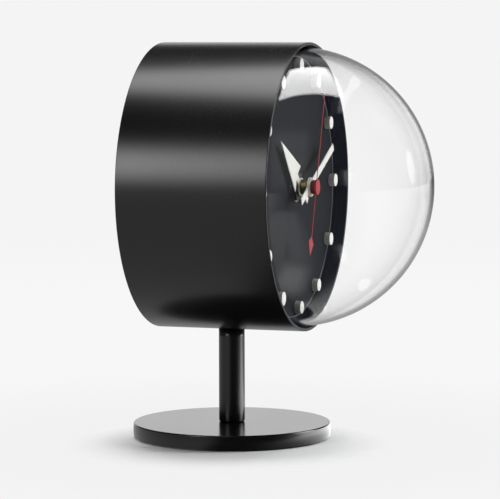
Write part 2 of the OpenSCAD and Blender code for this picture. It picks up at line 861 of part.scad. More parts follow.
module coil_bobbin() {
    wall = 0.5;
    side = core_w / 2 + peg_gap;
    mid_z = core_z + core_t / 2;
    high = core_t / 2 + peg_gap;
    color("#d8d4c4") head() difference() {
        union() {
            bar([coil_x - side - wall, coil_x + side + wall], [coil_from, coil_to],
                [mid_z - high - wall, mid_z + high + wall]);
            for (y = [coil_from, coil_to - wall])
                bar([coil_x - flange_r, coil_x + flange_r], [y, y + wall],
                    [mid_z - flange_r, mid_z + flange_r]);
        }
        bar([coil_x - side, coil_x + side], [coil_from - 1, coil_to + 1], [mid_z - high, mid_z + high]);
    }
}

module coil_winding() {
    wall = 0.5;
    side = core_w / 2 + 2 * peg_gap + wall;
    mid_z = core_z + core_t / 2;
    high = core_t / 2 + 2 * peg_gap + wall;
    color("#b0622f") head() difference() {
        translate([coil_x, coil_from + wall + peg_gap, mid_z]) rotate([-90, 0, 0])
            cylinder(r = coil_r, h = coil_to - coil_from - 2 * wall - 2 * peg_gap);
        bar([coil_x - side, coil_x + side], [coil_from - 1, coil_to + 1], [mid_z - high, mid_z + high]);
    }
}

module circuit_board() {
    color("#2f6b3f") head() bar(board_x, board_y, [board_z, board_z + board_t]);
}

module quartz_crystal() {
    can_r = 1;
    color(steel) head() translate([board_x[0] + 3, board_y[1] - 2, board_z + board_t + can_r])
        rotate([0, 90, 0]) cylinder(r = can_r, h = 6);
}

module chip() {
    color("#101010") head() translate([board_x[1] - 6, board_y[0] + 5])
        rod(chip_d / 2, board_z + board_t, 0.9);
}

module positive_contact() {
    tab_z = board_z + board_t;
    wall_x = -mov_in_x;
    button_r = 1.4;
    color(brass) head() {
        bar([wall_x, wall_x + strip_t], [cell_at[1] - 4, board_y[0] + 2.5],
            [cell_z - strip_w / 2, cell_z + strip_w / 2]);
        translate([wall_x, cell_at[1], cell_z]) rotate([0, 90, 0])
            cylinder(r = button_r, h = cell_end - contact_gap);
        bar([wall_x, wall_x + strip_t], [board_y[0], board_y[0] + 2.5], [tab_z, cell_z]);
        bar([wall_x, board_x[0] + 1.5], [board_y[0], board_y[0] + 2.5], [tab_z, tab_z + strip_t]);
    }
}

module negative_contact() {
    spring_x = mov_in_x - spring_out;
    run_y = bay_top + bay_wall + 0.3;
    run_x = -mov_in_x + 1.2;
    low_z = floor_z + 0.1;
    tab_z = board_z + board_t;
    color(steel) head() {
        bar([spring_x, spring_x + strip_t], [cell_at[1] - 4, bay_top - 0.1],
            [low_z, cell_z + strip_w / 2]);
        bar([spring_x, spring_x + strip_w / 2], [bay_top - 0.4, run_y + 1], [low_z, low_z + strip_t]);
        bar([run_x, spring_x + strip_w / 2], [run_y, run_y + 1], [low_z, low_z + strip_t]);
        bar([run_x, run_x + 1], [run_y, board_y[1] - 4], [low_z, low_z + strip_t]);
        bar([run_x, run_x + 1], [board_y[1] - 4 - strip_t, board_y[1] - 4], [low_z, tab_z + strip_t]);
        bar([run_x, board_x[0] + 1.5], [board_y[1] - 5.5, board_y[1] - 4], [tab_z, tab_z + strip_t]);
    }
}

module battery() {
    body_len = cell_len - cap_h;
    color("#8d8f94") head() translate([-cell_len / 2, cell_at[1], cell_z]) rotate([0, 90, 0]) {
        translate([0, 0, cap_h]) cylinder(r = cell_r, h = body_len);
        cylinder(r = cap_r, h = cap_h + 1);
    }
}

case_tube();
carrier_ring();
rear_stop_ring();
rear_cover();
dial_plate();
for (i = [1:12]) hour_marker(i);
dome();
stem();
base_disc();
base_pad();
base_screw();
stem_screw();
saddle_washer();
front_housing();
rear_housing();
housing_screws();
train_bridge();
dial_gasket();
bush_washer();
bush_nut();
hour_wheel();
hour_hand();
hour_collet();
cannon_pinion();
minute_wheel();
clutch_spring();
minute_hand();
minute_bush();
minute_work_wheel();
third_wheel();
second_arbor();
second_wheel();
second_hand();
second_tube();
intermediate_wheel();
rotor_magnet();
rotor_pinion();
stator();
coil_core();
coil_bobbin();
coil_winding();
circuit_board();
quartz_crystal();
chip();
positive_contact();
negative_contact();
battery();
set_knob();
set_pinion();
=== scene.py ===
import json
import math
import bpy
import numpy as np
from mathutils import Matrix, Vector
from mathutils.geometry import tessellate_polygon


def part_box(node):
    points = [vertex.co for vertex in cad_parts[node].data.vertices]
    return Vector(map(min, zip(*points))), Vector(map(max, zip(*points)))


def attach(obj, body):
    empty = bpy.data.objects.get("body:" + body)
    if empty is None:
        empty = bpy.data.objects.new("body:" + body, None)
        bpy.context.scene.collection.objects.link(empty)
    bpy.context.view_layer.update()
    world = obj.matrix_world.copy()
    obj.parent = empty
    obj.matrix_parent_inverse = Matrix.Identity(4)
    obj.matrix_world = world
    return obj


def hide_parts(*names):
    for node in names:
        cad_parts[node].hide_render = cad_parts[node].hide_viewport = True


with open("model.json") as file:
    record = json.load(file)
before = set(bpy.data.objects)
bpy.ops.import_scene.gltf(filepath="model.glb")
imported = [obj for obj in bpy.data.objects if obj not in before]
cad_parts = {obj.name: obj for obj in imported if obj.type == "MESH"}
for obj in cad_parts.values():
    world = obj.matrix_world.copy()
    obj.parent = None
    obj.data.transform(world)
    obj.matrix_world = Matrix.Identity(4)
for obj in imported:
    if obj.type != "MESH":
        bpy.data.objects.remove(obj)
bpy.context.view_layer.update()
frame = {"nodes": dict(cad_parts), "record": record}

scene = bpy.context.scene
mm = 0.001
print("frame loaded:", len(frame["nodes"]), "nodes")


# Sizes that other pieces share are read off the frame, in mm
def boxOf(node):
    low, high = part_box(node)
    return np.array(low) / mm, np.array(high) / mm


tubeLow, tubeHigh = boxOf("case_tube")
axisHeight = (tubeLow[2] + tubeHigh[2]) / 2
caseRadius = (tubeHigh[0] - tubeLow[0]) / 2
caseFront, caseRear = -tubeLow[1], tubeHigh[1]
dialLow, dialHigh = boxOf("dial_plate")
dialFront, dialBack, dialRadius = -dialLow[1], -dialHigh[1], (dialHigh[0] - dialLow[0]) / 2
domeLow, domeHigh = boxOf("dome")
domeRadius = (domeHigh[0] - domeLow[0]) / 2
domeMiddle = -domeLow[1] - domeRadius
baseLow, baseHigh = boxOf("base_disc")


# Head frame: x to the right, y up and z out of the dial, counted from the stem's axis. A point (x, y, z)
# there stands at (x, -z, y + axis height) in the room, and a direction turns the same way without the lift
def fromHead(points):
    points = np.asarray(points, float)
    return np.stack([points[..., 0], -points[..., 2], points[..., 1] + axisHeight], -1)


def fromHeadTurn(vectors):
    return np.stack([vectors[..., 0], -vectors[..., 2], vectors[..., 1]], -1)


# Points and directions that are the room's already stay as they are
def upright(points):
    return np.asarray(points, float)


# An outline with its corners rounded: a corner becomes an arc that touches both sides, starting at radius
# x tangent of half the turn before it, and an arc point's normal is radial. The outline runs
# anticlockwise, radius against height, and an open one keeps its two ends.
def roundedProfile(corners, radii, closed=True, steps=6):
    corners = np.asarray(corners, float)
    points, normals = [], []
    count = len(corners)
    share = np.linspace(0, 1, steps + 1)[:, None]
    for i, radius in enumerate(radii):
        here = corners[i]
        into = here - corners[i - 1]
        out = corners[(i + 1) % count] - here
        into, out = into / max(np.hypot(*into), 1e-9), out / max(np.hypot(*out), 1e-9)
        if not closed and i in (0, count - 1):
            side = out if i == 0 else into
            points.append(here[None])
            normals.append(np.array([[side[1], -side[0]]]))
            continue
        turn = math.atan2(into[0] * out[1] - into[1] * out[0], into @ out)
        sign = 1 if turn > 0 else -1
        first = math.atan2(-into[0], into[1])
        angle = first + share * turn
        normal = np.concatenate([np.cos(angle), np.sin(angle)], 1)
        start = here - into * radius * math.tan(abs(turn) / 2)
        points.append(start - sign * radius * normal[:1] + sign * radius * normal)
        normals.append(normal)
    return np.concatenate(points), np.concatenate(normals)


# Quads of a grid of rows of points, where each row is a closed ring and the last row meets the first if
# asked. Point (row, column) is number row x columns + column, and a quad takes it and the next point in
# both rows.
def gridQuads(rows, columns, closeRows=False):
    r = np.arange(rows if closeRows else rows - 1)[:, None]
    c = np.arange(columns)[None, :]
    r2, c2 = (r + 1) % rows, (c + 1) % columns
    quads = [r * columns + c, r * columns + c2, r2 * columns + c2, r2 * columns + c]
    return np.stack(np.broadcast_arrays(*quads), -1).reshape(-1, 4)


# A smooth mesh from points in mm, with its corners' normals where they are worked out
def meshFrom(name, points, faces, normals=None):
    mesh = bpy.data.meshes.new(name)
    mesh.from_pydata((np.asarray(points).reshape(-1, 3) * mm).tolist(), [], faces)
    mesh.polygons.foreach_set("use_smooth", np.ones(len(mesh.polygons), bool))
    if normals is not None:
        mesh.normals_split_custom_set_from_vertices(np.asarray(normals).reshape(-1, 3).tolist())
    mesh.validate()
    return mesh


# A profile carried round the axis: radius r and height z go to (r cos angle, r sin angle, z), moved by the
# centre, which may differ from point to point. Ends that lie on the axis become one point each, and
# radiusAt may change r with the angle.
def spun(name, profile, profileNormals, segments=192, centre=(0, 0), toWorld=fromHead,
         turnNormals=fromHeadTurn, radiusAt=None):
    angle = np.arange(segments) * 2 * np.pi / segments
    poles = profile[0, 0] < 1e-6 and profile[-1, 0] < 1e-6
    body = slice(1, -1) if poles else slice(None)
    r, z = profile[body, 0][:, None], profile[body, 1][:, None]
    nr, nz = profileNormals[body, 0][:, None], profileNormals[body, 1][:, None]
    ones = np.ones_like(angle)
    if radiusAt is not None:
        r = radiusAt(r, angle[None, :], z)
    points = np.stack([r * np.cos(angle) + centre[0], r * np.sin(angle) + centre[1], z * ones], -1)
    normals = np.stack([nr * np.cos(angle), nr * np.sin(angle), nz * ones], -1)
    rows = points.shape[0]
    faces = gridQuads(rows, segments, closeRows=not poles).tolist()
    points, normals = points.reshape(-1, 3), normals.reshape(-1, 3)
    if poles:
        ends = [[centre[0], centre[1], profile[0, 1]], [centre[0], centre[1], profile[-1, 1]]]
        endNormals = [[0, 0, profileNormals[0, 1]], [0, 0, profileNormals[-1, 1]]]
        first, last = len(points), len(points) + 1
        near = np.arange(segments)
        far = near + (rows - 1) * segments
        faces += np.stack([near, np.full(segments, first), (near + 1) % segments], -1).tolist()
        faces += np.stack([far, (near + 1) % segments + (rows - 1) * segments,
                           np.full(segments, last)], -1).tolist()
        points = np.concatenate([points, ends])
        normals = np.concatenate([normals, endNormals])
    if radiusAt is not None:
        normals = None
    else:
        normals = turnNormals(normals)
    return meshFrom(name, toWorld(points), faces, normals)


# A flat piece cut from sheet. In the rounded edge an outline point stands in along its miter by
# edge x (1 - sine) where it has climbed edge x (1 - cosine), mirrored at the top. The hole's points do so
# round their own circle, and triangles fill both faces.
plate = {"holeSides": 64, "edgeSteps": 5, "sharpest": 0.06}


def cutPlate(name, outline, holeRadius, bottom, top, edge, turn):
    hole = np.arange(plate["holeSides"]) * 2 * np.pi / plate["holeSides"]
    holeLoop = np.stack([np.cos(hole), -np.sin(hole)], -1)
    before, after = outline - np.roll(outline, 1, 0), np.roll(outline, -1, 0) - outline
    before /= np.linalg.norm(before, axis=1)[:, None]
    after /= np.linalg.norm(after, axis=1)[:, None]
    sides = np.stack([before[:, 1] + after[:, 1], -before[:, 0] - after[:, 0]], -1)
    miter = sides / np.maximum(1 + (before * after).sum(1), plate["sharpest"])[:, None]
    quarter = np.linspace(0, np.pi / 2, plate["edgeSteps"])
    inset = np.concatenate([edge * (1 - np.sin(quarter)), edge * (1 - np.cos(quarter))])[:, None, None]
    height = np.concatenate([bottom + edge * (1 - np.cos(quarter)), top - edge * (1 - np.sin(quarter))])
    lean = np.concatenate([-np.cos(quarter), np.sin(quarter)])
    outer = outline[None] - inset * miter[None]
    inner = holeLoop[None] * (holeRadius + inset)
    unit = sides / np.linalg.norm(sides, axis=1)[:, None]
    points, normals, faces, start = [], [], [], 0
    c, s = math.cos(turn), math.sin(turn)
    for loop, out in ((outer, unit), (inner, -holeLoop)):
        rows, columns = loop.shape[:2]
        z = np.broadcast_to(height[:, None], (rows, columns))
        flat = np.sqrt(1 - lean ** 2)[:, None, None] * out[None]
        normal = np.concatenate([flat, np.broadcast_to(lean[:, None, None], (rows, columns, 1))], -1)
        points.append(np.stack([loop[..., 0], loop[..., 1], z], -1).reshape(-1, 3))
        normals.append(normal.reshape(-1, 3))
        faces += (gridQuads(rows, columns) + start).tolist()
        start += rows * columns
    points, normals = np.concatenate(points), np.concatenate(normals)
    count, holeCount, rows = outer.shape[1], inner.shape[1], len(height)
    flat = [[(x, y, 0) for x, y in loop[0]] for loop in (outer, inner)]
    index = np.concatenate([np.arange(count), rows * count + np.arange(holeCount)])
    topIndex = np.concatenate([np.arange(count) + (rows - 1) * count,
                               rows * count + (rows - 1) * holeCount + np.arange(holeCount)])
    for a, b, d in tessellate_polygon(flat):
        u, v, w = (np.array(flat[0] + flat[1])[k] for k in (a, b, d))
        if np.cross(v - u, w - u)[2] < 0:
            b, d = d, b
        faces.append([int(index[a]), int(index[d]), int(index[b])])
        faces.append([int(topIndex[a]), int(topIndex[b]), int(topIndex[d])])
    spin = np.array([[c, -s, 0], [s, c, 0], [0, 0, 1]])
    return meshFrom(name, fromHead(points @ spin.T), faces, fromHeadTurn(normals @ spin.T))


# A piece that rides its body, with its material, and the nodes that it replaces hidden
def addPiece(mesh, body, material, replaced=()):
    piece = bpy.data.objects.new(mesh.name, mesh)
    scene.collection.objects.link(piece)
    mesh.materials.append(material)
    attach(piece, body)
    if replaced:
        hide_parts(*replaced)
    return piece


# Faces take a second material where the test says so: it reads how far each face's middle is from the
# dial's axis and how high along it, in mm
def paintFaces(piece, material, chosen):
    middles = np.zeros(len(piece.data.polygons) * 3)
    piece.data.polygons.foreach_get("center", middles)
    x, y, z = (middles.reshape(-1, 3) / mm).T
    piece.data.materials.append(material)
    second = chosen(np.hypot(x, z - axisHeight), -y)
    piece.data.polygons.foreach_set("material_index", second.astype(np.int32))


# Materials

# sRGB hex to linear: up to 0.04045 the value / 12.92, above it ((value + 0.055) / 1.055) to the power 2.4
def linear(colour):
    value = np.array([int(colour[i:i + 2], 16) / 255 for i in (1, 3, 5)])
    value = np.where(value <= 0.04045, value / 12.92, ((value + 0.055) / 1.055) ** 2.4)
    return (*value.tolist(), 1)


# Adds a node: its settings are plain keys, and sockets gives inputs by name or number, each with a value
# or a link. In a Map Range 1 and 2 are the range that comes in and 3 and 4 the one that goes out. In a Mix
# 0 is the share, 2 and 3 are two levels, 6 and 7 two colours.
def addNode(tree, kind, **given):
    node = tree.nodes.new(kind)
    sockets = given.pop("sockets", {})
    for key, value in given.items():
        setattr(node, key, value)
    for key, value in sockets.items():
        if isinstance(value, bpy.types.NodeSocket):
            tree.links.new(value, node.inputs[key])
        else:
            node.inputs[key].default_value = value
    return node


# The kinds of ray, and one for rays that have been mirrored on their way here: a glossy depth above a half
def rayKinds(tree):
    rays = addNode(tree, "ShaderNodeLightPath")
    mirrored = addNode(tree, "ShaderNodeMath", operation="GREATER_THAN", sockets={
        0: rays.outputs["Glossy Depth"], 1: 0.5})
    return rays, mirrored


# Most finishes: a base colour that drifts to a second one over large patches, a roughness between
# two values and a bump, both from a fine grain whose size is given in mm. Roughness follows the grain
# plus a share of the patches, and the bump is as high as a share of the grain.
noise = {"detail": 3.0, "roughness": 0.6, "broadDetail": 2.0, "broadShare": 0.5, "range": (0.45, 1.05),
         "relief": 0.5}


def surface(name, colour, drift, rough, grain, bump, patch=25, metal=0, stretch=(1, 1, 1), **sockets):
    material = bpy.data.materials.new(name)
    material.use_nodes = True
    tree = material.node_tree
    shader = tree.nodes["Principled BSDF"]
    place = addNode(tree, "ShaderNodeTexCoord")
    spread = addNode(tree, "ShaderNodeMapping", sockets={"Vector": place.outputs["Object"], "Scale": stretch})
    fine = addNode(tree, "ShaderNodeTexNoise", sockets={
        "Vector": spread.outputs[0], "Scale": 1 / (grain * mm), "Detail": noise["detail"],
        "Roughness": noise["roughness"]})
    broad = addNode(tree, "ShaderNodeTexNoise", sockets={
        "Vector": spread.outputs[0], "Scale": 1 / (patch * mm), "Detail": noise["broadDetail"]})
    mixed = addNode(tree, "ShaderNodeMix", data_type="RGBA", sockets={
        0: broad.outputs[0], 6: linear(colour), 7: linear(drift)})
    wear = addNode(tree, "ShaderNodeMath", operation="MULTIPLY_ADD", sockets={
        0: broad.outputs[0], 1: noise["broadShare"], 2: fine.outputs[0]})
    level = addNode(tree, "ShaderNodeMapRange", sockets={
        "Value": wear.outputs[0], 1: noise["range"][0], 2: noise["range"][1], 3: rough[0], 4: rough[1]})
    relief = addNode(tree, "ShaderNodeBump", sockets={
        "Height": fine.outputs[0], "Strength": bump, "Distance": grain * mm * noise["relief"]})
    tree.links.new(mixed.outputs[2], shader.inputs["Base Color"])
    tree.links.new(level.outputs[0], shader.inputs["Roughness"])
    tree.links.new(relief.outputs[0], shader.inputs["Normal"])
    shader.inputs["Metallic"].default_value = metal
    for key, value in sockets.items():
        shader.inputs[key.replace("_", " ")].default_value = value
    return material


# Satin lacquer sprayed on sheet steel: near black, a soft even sheen with a faint orange peel
blackLacquer = surface("satinLacquerOnSteel", "#0a0a0b", "#0c0c0d", (0.24, 0.28), 0.6, 0.012, patch=30,
                       Specular_IOR_Level=0.5)
# The foot's lacquer is polished a little finer than the case's
footLacquer = surface("polishedLacquerOnSteel", "#0a0a0b", "#0c0c0d", (0.17, 0.21), 0.6, 0.008, patch=30,
                      Specular_IOR_Level=0.5)
# Inside the tube the lacquer is left flat, so that it doesn't glare round the dial, and is a bluish charcoal
# far lighter than the outside's black: painted light that stands in for the light the shaded inside lacks
insideLacquerPaintedLight = surface("flatLacquerPaintedLightOnSteel", "#2b3140", "#2e3444", (0.55, 0.65), 0.3, 0.04, patch=20,
                      Specular_IOR_Level=0.05)
# Moulded black ABS with a fine spark-eroded texture: dull, slightly grey
blackPlastic = surface("sparkTexturedAbs", "#161617", "#1b1b1c", (0.5, 0.62), 0.35, 0.25, patch=12,
                       Specular_IOR_Level=0.4)
# Charcoal matt paint on the aluminium dial: flat, with a tooth that is hardly seen
dialPaint = surface("mattCharcoalPaint", "#1f2126", "#22242a", (0.62, 0.7), 0.25, 0.01, patch=18,
                    Specular_IOR_Level=0.1)
# The dial's fine raised edge is left bare: satin metal that shows as a thin light line
cutEdge = surface("turnedAluminium", "#b9babd", "#adaeb1", (0.34, 0.44), 0.1, 0.05, patch=3, metal=1)
# White enamel on the pegs, over nickel silver: bright on their faces, and a grey copy of it down their sides,
# painted shade
pegSidePaintedShade = surface("whiteEnamelPaintedShadeOnSides", "#a9a7a1", "#a09e98", (0.36, 0.46), 0.4, 0.05, patch=4)
pegEnamel = surface("whiteEnamelOnNickelSilver", "#fcfbf8", "#f7f6f2", (0.3, 0.38), 0.4, 0.05, patch=4)
# The hands' white enamel is warmer and slightly wavy, and the bush's is yellower over its brass
whiteEnamel = surface("whiteEnamelOnAluminium", "#f1eee8", "#ebe8e1", (0.34, 0.42), 0.5, 0.05, patch=8)
bushEnamel = surface("whiteEnamelOnBrass", "#dcdad0", "#d3d1c8", (0.3, 0.4), 0.3, 0.08, patch=3)
# Red enamel: clear red on the second hand, a dark brownish red on the tube behind it
redEnamel = surface("redEnamelOnAluminium", "#b4202b", "#a91c26", (0.32, 0.42), 0.4, 0.05, patch=6)
darkRedEnamel = surface("darkRedEnamelOnBrass", "#6a2318", "#591b13", (0.3, 0.4), 0.3, 0.06, patch=3)
# Turned brass: straw yellow, with fine rings round the axis from the tool
turnedBrass = surface("turnedBrass", "#9c8a55", "#887746", (0.22, 0.34), 0.12, 0.12, patch=2, metal=1,
                      stretch=(1, 8, 1))
# Black rubber: dull, with a fine matt skin
padRubber = surface("mouldedRubber", "#121212", "#181818", (0.7, 0.85), 0.4, 0.3, patch=10,
                    Specular_IOR_Level=0.3)
# Zinc plated steel: pale grey, a little cloudy
zincSteel = surface("zincPlatedSteel", "#b9bbbd", "#a9acb0", (0.25, 0.4), 0.3, 0.1, patch=3, metal=1)
# Polished spring steel: bright and even
springSteel = surface("polishedSpringSteel", "#c3c3c1", "#b4b4b3", (0.15, 0.25), 0.2, 0.05, patch=4, metal=1)
# Rolled nickel iron: greyer, with fine lines from the rolls
coreSteel = surface("rolledNickelIron", "#9b9a97", "#8e8d8a", (0.35, 0.5), 0.15, 0.15, patch=5, metal=1,
                    stretch=(1, 1, 6))
# Drawn steel of the crystal's can: bright, smooth and cool
canSteel = surface("drawnSteelCan", "#c4c4c6", "#b7b7ba", (0.2, 0.3), 0.2, 0.06, patch=3, metal=1)
# Nickel plated contact strip: pale warm metal
nickelStrip = surface("nickelPlatedStrip", "#bdb8a9", "#afa998", (0.22, 0.36), 0.2, 0.08, patch=4, metal=1)
# Blackened brass: brown-black and half dull
blackBrass = surface("blackenedBrass", "#1d1c1b", "#262422", (0.35, 0.5), 0.2, 0.1, patch=3,
                     Specular_IOR_Level=0.6)
# Moulded ABS of the movement: black, smoother than the cover's
movementAbs = surface("mouldedAbs", "#17171a", "#1d1d20", (0.4, 0.5), 0.3, 0.12, patch=10)
# Natural acetal: cream white and slightly waxy
naturalAcetal = surface("naturalAcetal", "#e6e0d2", "#dcd5c5", (0.35, 0.45), 0.4, 0.05, patch=5)
# Bonded magnet: dark grey, half metallic and grainy
bondedMagnet = surface("bondedMagnet", "#3a3a3e", "#2e2e31", (0.45, 0.6), 0.15, 0.3, patch=2, metal=0.6)
# Solder mask on the board: even green gloss
boardMask = surface("solderMask", "#1f5a33", "#256539", (0.25, 0.35), 0.3, 0.08, patch=3)
# Epoxy over the chip: black with a dull gloss
chipEpoxy = surface("blackEpoxy", "#121212", "#181818", (0.3, 0.45), 0.5, 0.2, patch=2)


# Enamelled copper wire, wound: red-brown metal with ridges across the coil, drawn coarser than the wire
# so that they show. The wave repeats every 2 pi / 20 of its scaled length.
wire = {"pitch": 0.592, "relief": 0.15, "strength": 0.8}
copperWire = surface("enamelledCopperWire", "#a8532a", "#8e421f", (0.25, 0.35), 0.2, 0.1, patch=3, metal=1)
tree = copperWire.node_tree
wirePlace = addNode(tree, "ShaderNodeTexCoord")
windings = addNode(tree, "ShaderNodeTexWave", bands_direction="Z", sockets={
    "Vector": wirePlace.outputs["Object"], "Scale": 2 * math.pi / (20 * wire["pitch"] * mm)})
ridges = addNode(tree, "ShaderNodeBump", sockets={
    "Height": windings.outputs[1], "Strength": wire["strength"], "Distance": wire["relief"] * mm})
tree.links.new(ridges.outputs[0], tree.nodes["Principled BSDF"].inputs["Normal"])

# Printed steel sleeve of the cell, with no words: dark body and, up to bandEnd mm along x, a copper-coloured
# band by the cap
cellPrint = {"bandEnd": -13.2, "bodyStart": -13.0, "body": "#2c3036", "band": "#a9763c"}
cellSleeve = surface("printedSteelSleeve", "#2a2d31", "#303338", (0.25, 0.35), 0.4, 0.04, patch=8, metal=0.3)
tree = cellSleeve.node_tree
cellPlace = addNode(tree, "ShaderNodeTexCoord")
along = addNode(tree, "ShaderNodeSeparateXYZ", sockets={0: cellPlace.outputs["Object"]})
endBand = addNode(tree, "ShaderNodeMapRange", sockets={
    "Value": along.outputs[0], 1: cellPrint["bandEnd"] * mm, 2: cellPrint["bodyStart"] * mm, 3: 1.0, 4: 0.0})
printed = addNode(tree, "ShaderNodeMix", data_type="RGBA", sockets={
    0: endBand.outputs[0], 6: linear(cellPrint["body"]), 7: linear(cellPrint["band"])})
tree.links.new(printed.outputs[2], tree.nodes["Principled BSDF"].inputs["Base Color"])

# Polished cast acrylic: clear, with a painted dark line round its outline, where the eye grazes the wall:
# there its colour is darkened and a dark matt share is mixed in, painted shade for the dark that the wall
# shows there.
# Lamps shine through it, so the dial isn't left dark. The line starts and is full at these shares of grazing,
# down and up hold the wall's facing and the line's strength there, so the painted line is weaker where the
# wall faces down, and depth is how solid it is.
acrylic = {"ior": 1.49, "lampLight": (0.9, 0.91, 0.91, 1), "skin": 0.3, "paintedRimShade": "#15161a", "dark": "#1c1d20"}
rimLine = {"from": 0.72, "to": 0.84, "down": (-0.3, 0.45), "up": (0.05, 1.0), "depth": 0.62}
clearAcrylic = bpy.data.materials.new("polishedAcrylic")
clearAcrylic.use_nodes = True
tree = clearAcrylic.node_tree
glass = tree.nodes["Principled BSDF"]
for key, value in (("Roughness", 0.0), ("IOR", acrylic["ior"]), ("Transmission Weight", 1.0)):
    glass.inputs[key].default_value = value
grazing = addNode(tree, "ShaderNodeLayerWeight", sockets={"Blend": 0.5})
edgeShade = addNode(tree, "ShaderNodeMapRange", interpolation_type="SMOOTHSTEP", sockets={
    "Value": grazing.outputs["Facing"], 1: rimLine["from"], 2: rimLine["to"], 3: 0.0, 4: 1.0})
place = addNode(tree, "ShaderNodeTexCoord")
fromMiddle = addNode(tree, "ShaderNodeVectorMath", operation="DISTANCE", sockets={
    0: place.outputs["Object"], 1: (0, -domeMiddle * mm, axisHeight * mm)})
outerSkin = addNode(tree, "ShaderNodeMath", operation="GREATER_THAN", sockets={
    0: fromMiddle.outputs["Value"], 1: (domeRadius - acrylic["skin"]) * mm})
outerShade = addNode(tree, "ShaderNodeMath", operation="MULTIPLY", sockets={
    0: edgeShade.outputs[0], 1: outerSkin.outputs[0]})
facingUp = addNode(tree, "ShaderNodeSeparateXYZ", sockets={0: place.outputs["Normal"]})
rimAmount = addNode(tree, "ShaderNodeMapRange", sockets={
    "Value": facingUp.outputs[2], 1: rimLine["down"][0], 2: rimLine["up"][0],
    3: rimLine["down"][1], 4: rimLine["up"][1]})
shade = addNode(tree, "ShaderNodeMath", operation="MULTIPLY", sockets={
    0: outerShade.outputs[0], 1: rimAmount.outputs[0]})
# Painted shade: along the outline the colour goes to near black
paintedRimShade = addNode(tree, "ShaderNodeMix", data_type="RGBA", sockets={
    0: shade.outputs[0], 6: linear("#ffffff"), 7: linear(acrylic["paintedRimShade"])})
tree.links.new(paintedRimShade.outputs[2], glass.inputs["Base Color"])
rays = addNode(tree, "ShaderNodeLightPath")
lampRays = addNode(tree, "ShaderNodeMath", operation="MAXIMUM", sockets={
    0: rays.outputs["Is Shadow Ray"], 1: rays.outputs["Is Diffuse Ray"]})
through = addNode(tree, "ShaderNodeBsdfTransparent", sockets={"Color": acrylic["lampLight"]})
# Painted shade: a dark matt share is mixed in along the outline
paintedRimDark = addNode(tree, "ShaderNodeBsdfDiffuse", sockets={"Color": linear(acrylic["dark"])})
rimShare = addNode(tree, "ShaderNodeMath", operation="MULTIPLY", sockets={
    0: shade.outputs[0], 1: rimLine["depth"]})
rim = addNode(tree, "ShaderNodeMixShader", sockets={
    0: rimShare.outputs[0], 1: glass.outputs[0], 2: paintedRimDark.outputs[0]})
either = addNode(tree, "ShaderNodeMixShader", sockets={
    0: lampRays.outputs[0], 1: rim.outputs[0], 2: through.outputs[0]})
tree.links.new(either.outputs[0], tree.nodes["Material Output"].inputs["Surface"])
print("materials made")


# Case and stand

# Tube: a straight wall with round rims, flat lacquer on its inside, painted lighter there as painted light
caseTube = {"wall": 1.2, "rim": 0.3, "insideTo": 0.02, "segments": 288}
innerRadius = caseRadius - caseTube["wall"]
profile = roundedProfile(
    [[innerRadius, -caseRear], [caseRadius, -caseRear], [caseRadius, caseFront], [innerRadius, caseFront]],
    [caseTube["rim"]] * 4)
tubePiece = addPiece(spun("caseTube", *profile, segments=caseTube["segments"]), "root", blackLacquer,
                     ["case_tube"])
paintFaces(tubePiece, insideLacquerPaintedLight, lambda outward, height: outward < innerRadius + caseTube["insideTo"])

# Foot: a disc with a slightly barrelled side and a recess for its pad. Corners go from the underside's
# middle out to the top's middle.
foot = {"padRadius": 34.1, "recess": 1.0, "bulge": 0.21, "segments": 256,
        "corners": [0, 0.1, 0.2, 0.5, 16, 0.5, 0]}
footRadius, footTop, footLow = baseHigh[0], baseHigh[2], baseLow[2]
padRoof, edgeRadius = footLow + foot["recess"], footRadius - foot["bulge"]
profile = roundedProfile(
    [[0, padRoof], [foot["padRadius"], padRoof], [foot["padRadius"], footLow], [edgeRadius, footLow],
     [footRadius, (footTop + footLow) / 2], [edgeRadius, footTop], [0, footTop]],
    foot["corners"], closed=False)
footMesh = spun("footDisc", *profile, segments=foot["segments"], toWorld=upright, turnNormals=upright)
footPiece = addPiece(footMesh, "root", footLacquer, ["base_disc"])

pad = {"radius": 34.0, "top": 1.2, "corners": [0, 0.3, 0.1, 0]}
profile = roundedProfile([[0, 0], [pad["radius"], 0], [pad["radius"], pad["top"]], [0, pad["top"]]],
                         pad["corners"], closed=False)
addPiece(spun("footPad", *profile, toWorld=upright, turnNormals=upright),
         "root", padRubber, ["base_pad"])

# Stem: rings from the chamfer at the foot up to the saddle, then inwards over it. Pairs of rings just
# before and behind an edge keep it crisp.
stem = {"chamfer": 0.5, "crisp": 0.05, "middle": 0.02, "inwards": (0.97, 0.6, 0.005), "rings": 12,
        "segments": 128}
stemRadius = boxOf("stem")[1][0]
turnRound = np.arange(stem["segments"]) * 2 * np.pi / stem["segments"]
chamfer, crisp = stem["chamfer"], stem["crisp"]


# Height of the tube's underside: axis height - root of (case radius squared - x squared)
def saddleAt(radius):
    return axisHeight - np.sqrt(caseRadius ** 2 - (radius * np.cos(turnRound)) ** 2)


inwards = np.array(stem["inwards"])[:, None] * stemRadius
radii = np.array([stem["middle"], stemRadius - chamfer - crisp, stemRadius - chamfer + crisp,
                  stemRadius - crisp] + [stemRadius] * stem["rings"] + inwards[:, 0].tolist())
lift = np.array([0, 0, crisp, chamfer - crisp])
straight = footTop + chamfer + crisp
climb = np.concatenate([
    (footTop + lift)[:, None] * np.ones_like(turnRound),
    straight + np.linspace(0, 1, stem["rings"])[:, None] * (saddleAt(stemRadius) - straight),
    saddleAt(inwards)])
points = np.stack([radii[:, None] * np.cos(turnRound), radii[:, None] * np.sin(turnRound), climb], -1)
ring = list(range(stem["segments"]))
closing = [ring[::-1], [(len(radii) - 1) * len(ring) + k for k in ring]]
stemMesh = meshFrom("stem", points, gridQuads(len(radii), len(ring)).tolist() + closing)
stemPiece = addPiece(stemMesh, "root", blackLacquer, ["stem"])
print("case and stand made")


# Dial, pegs and dome

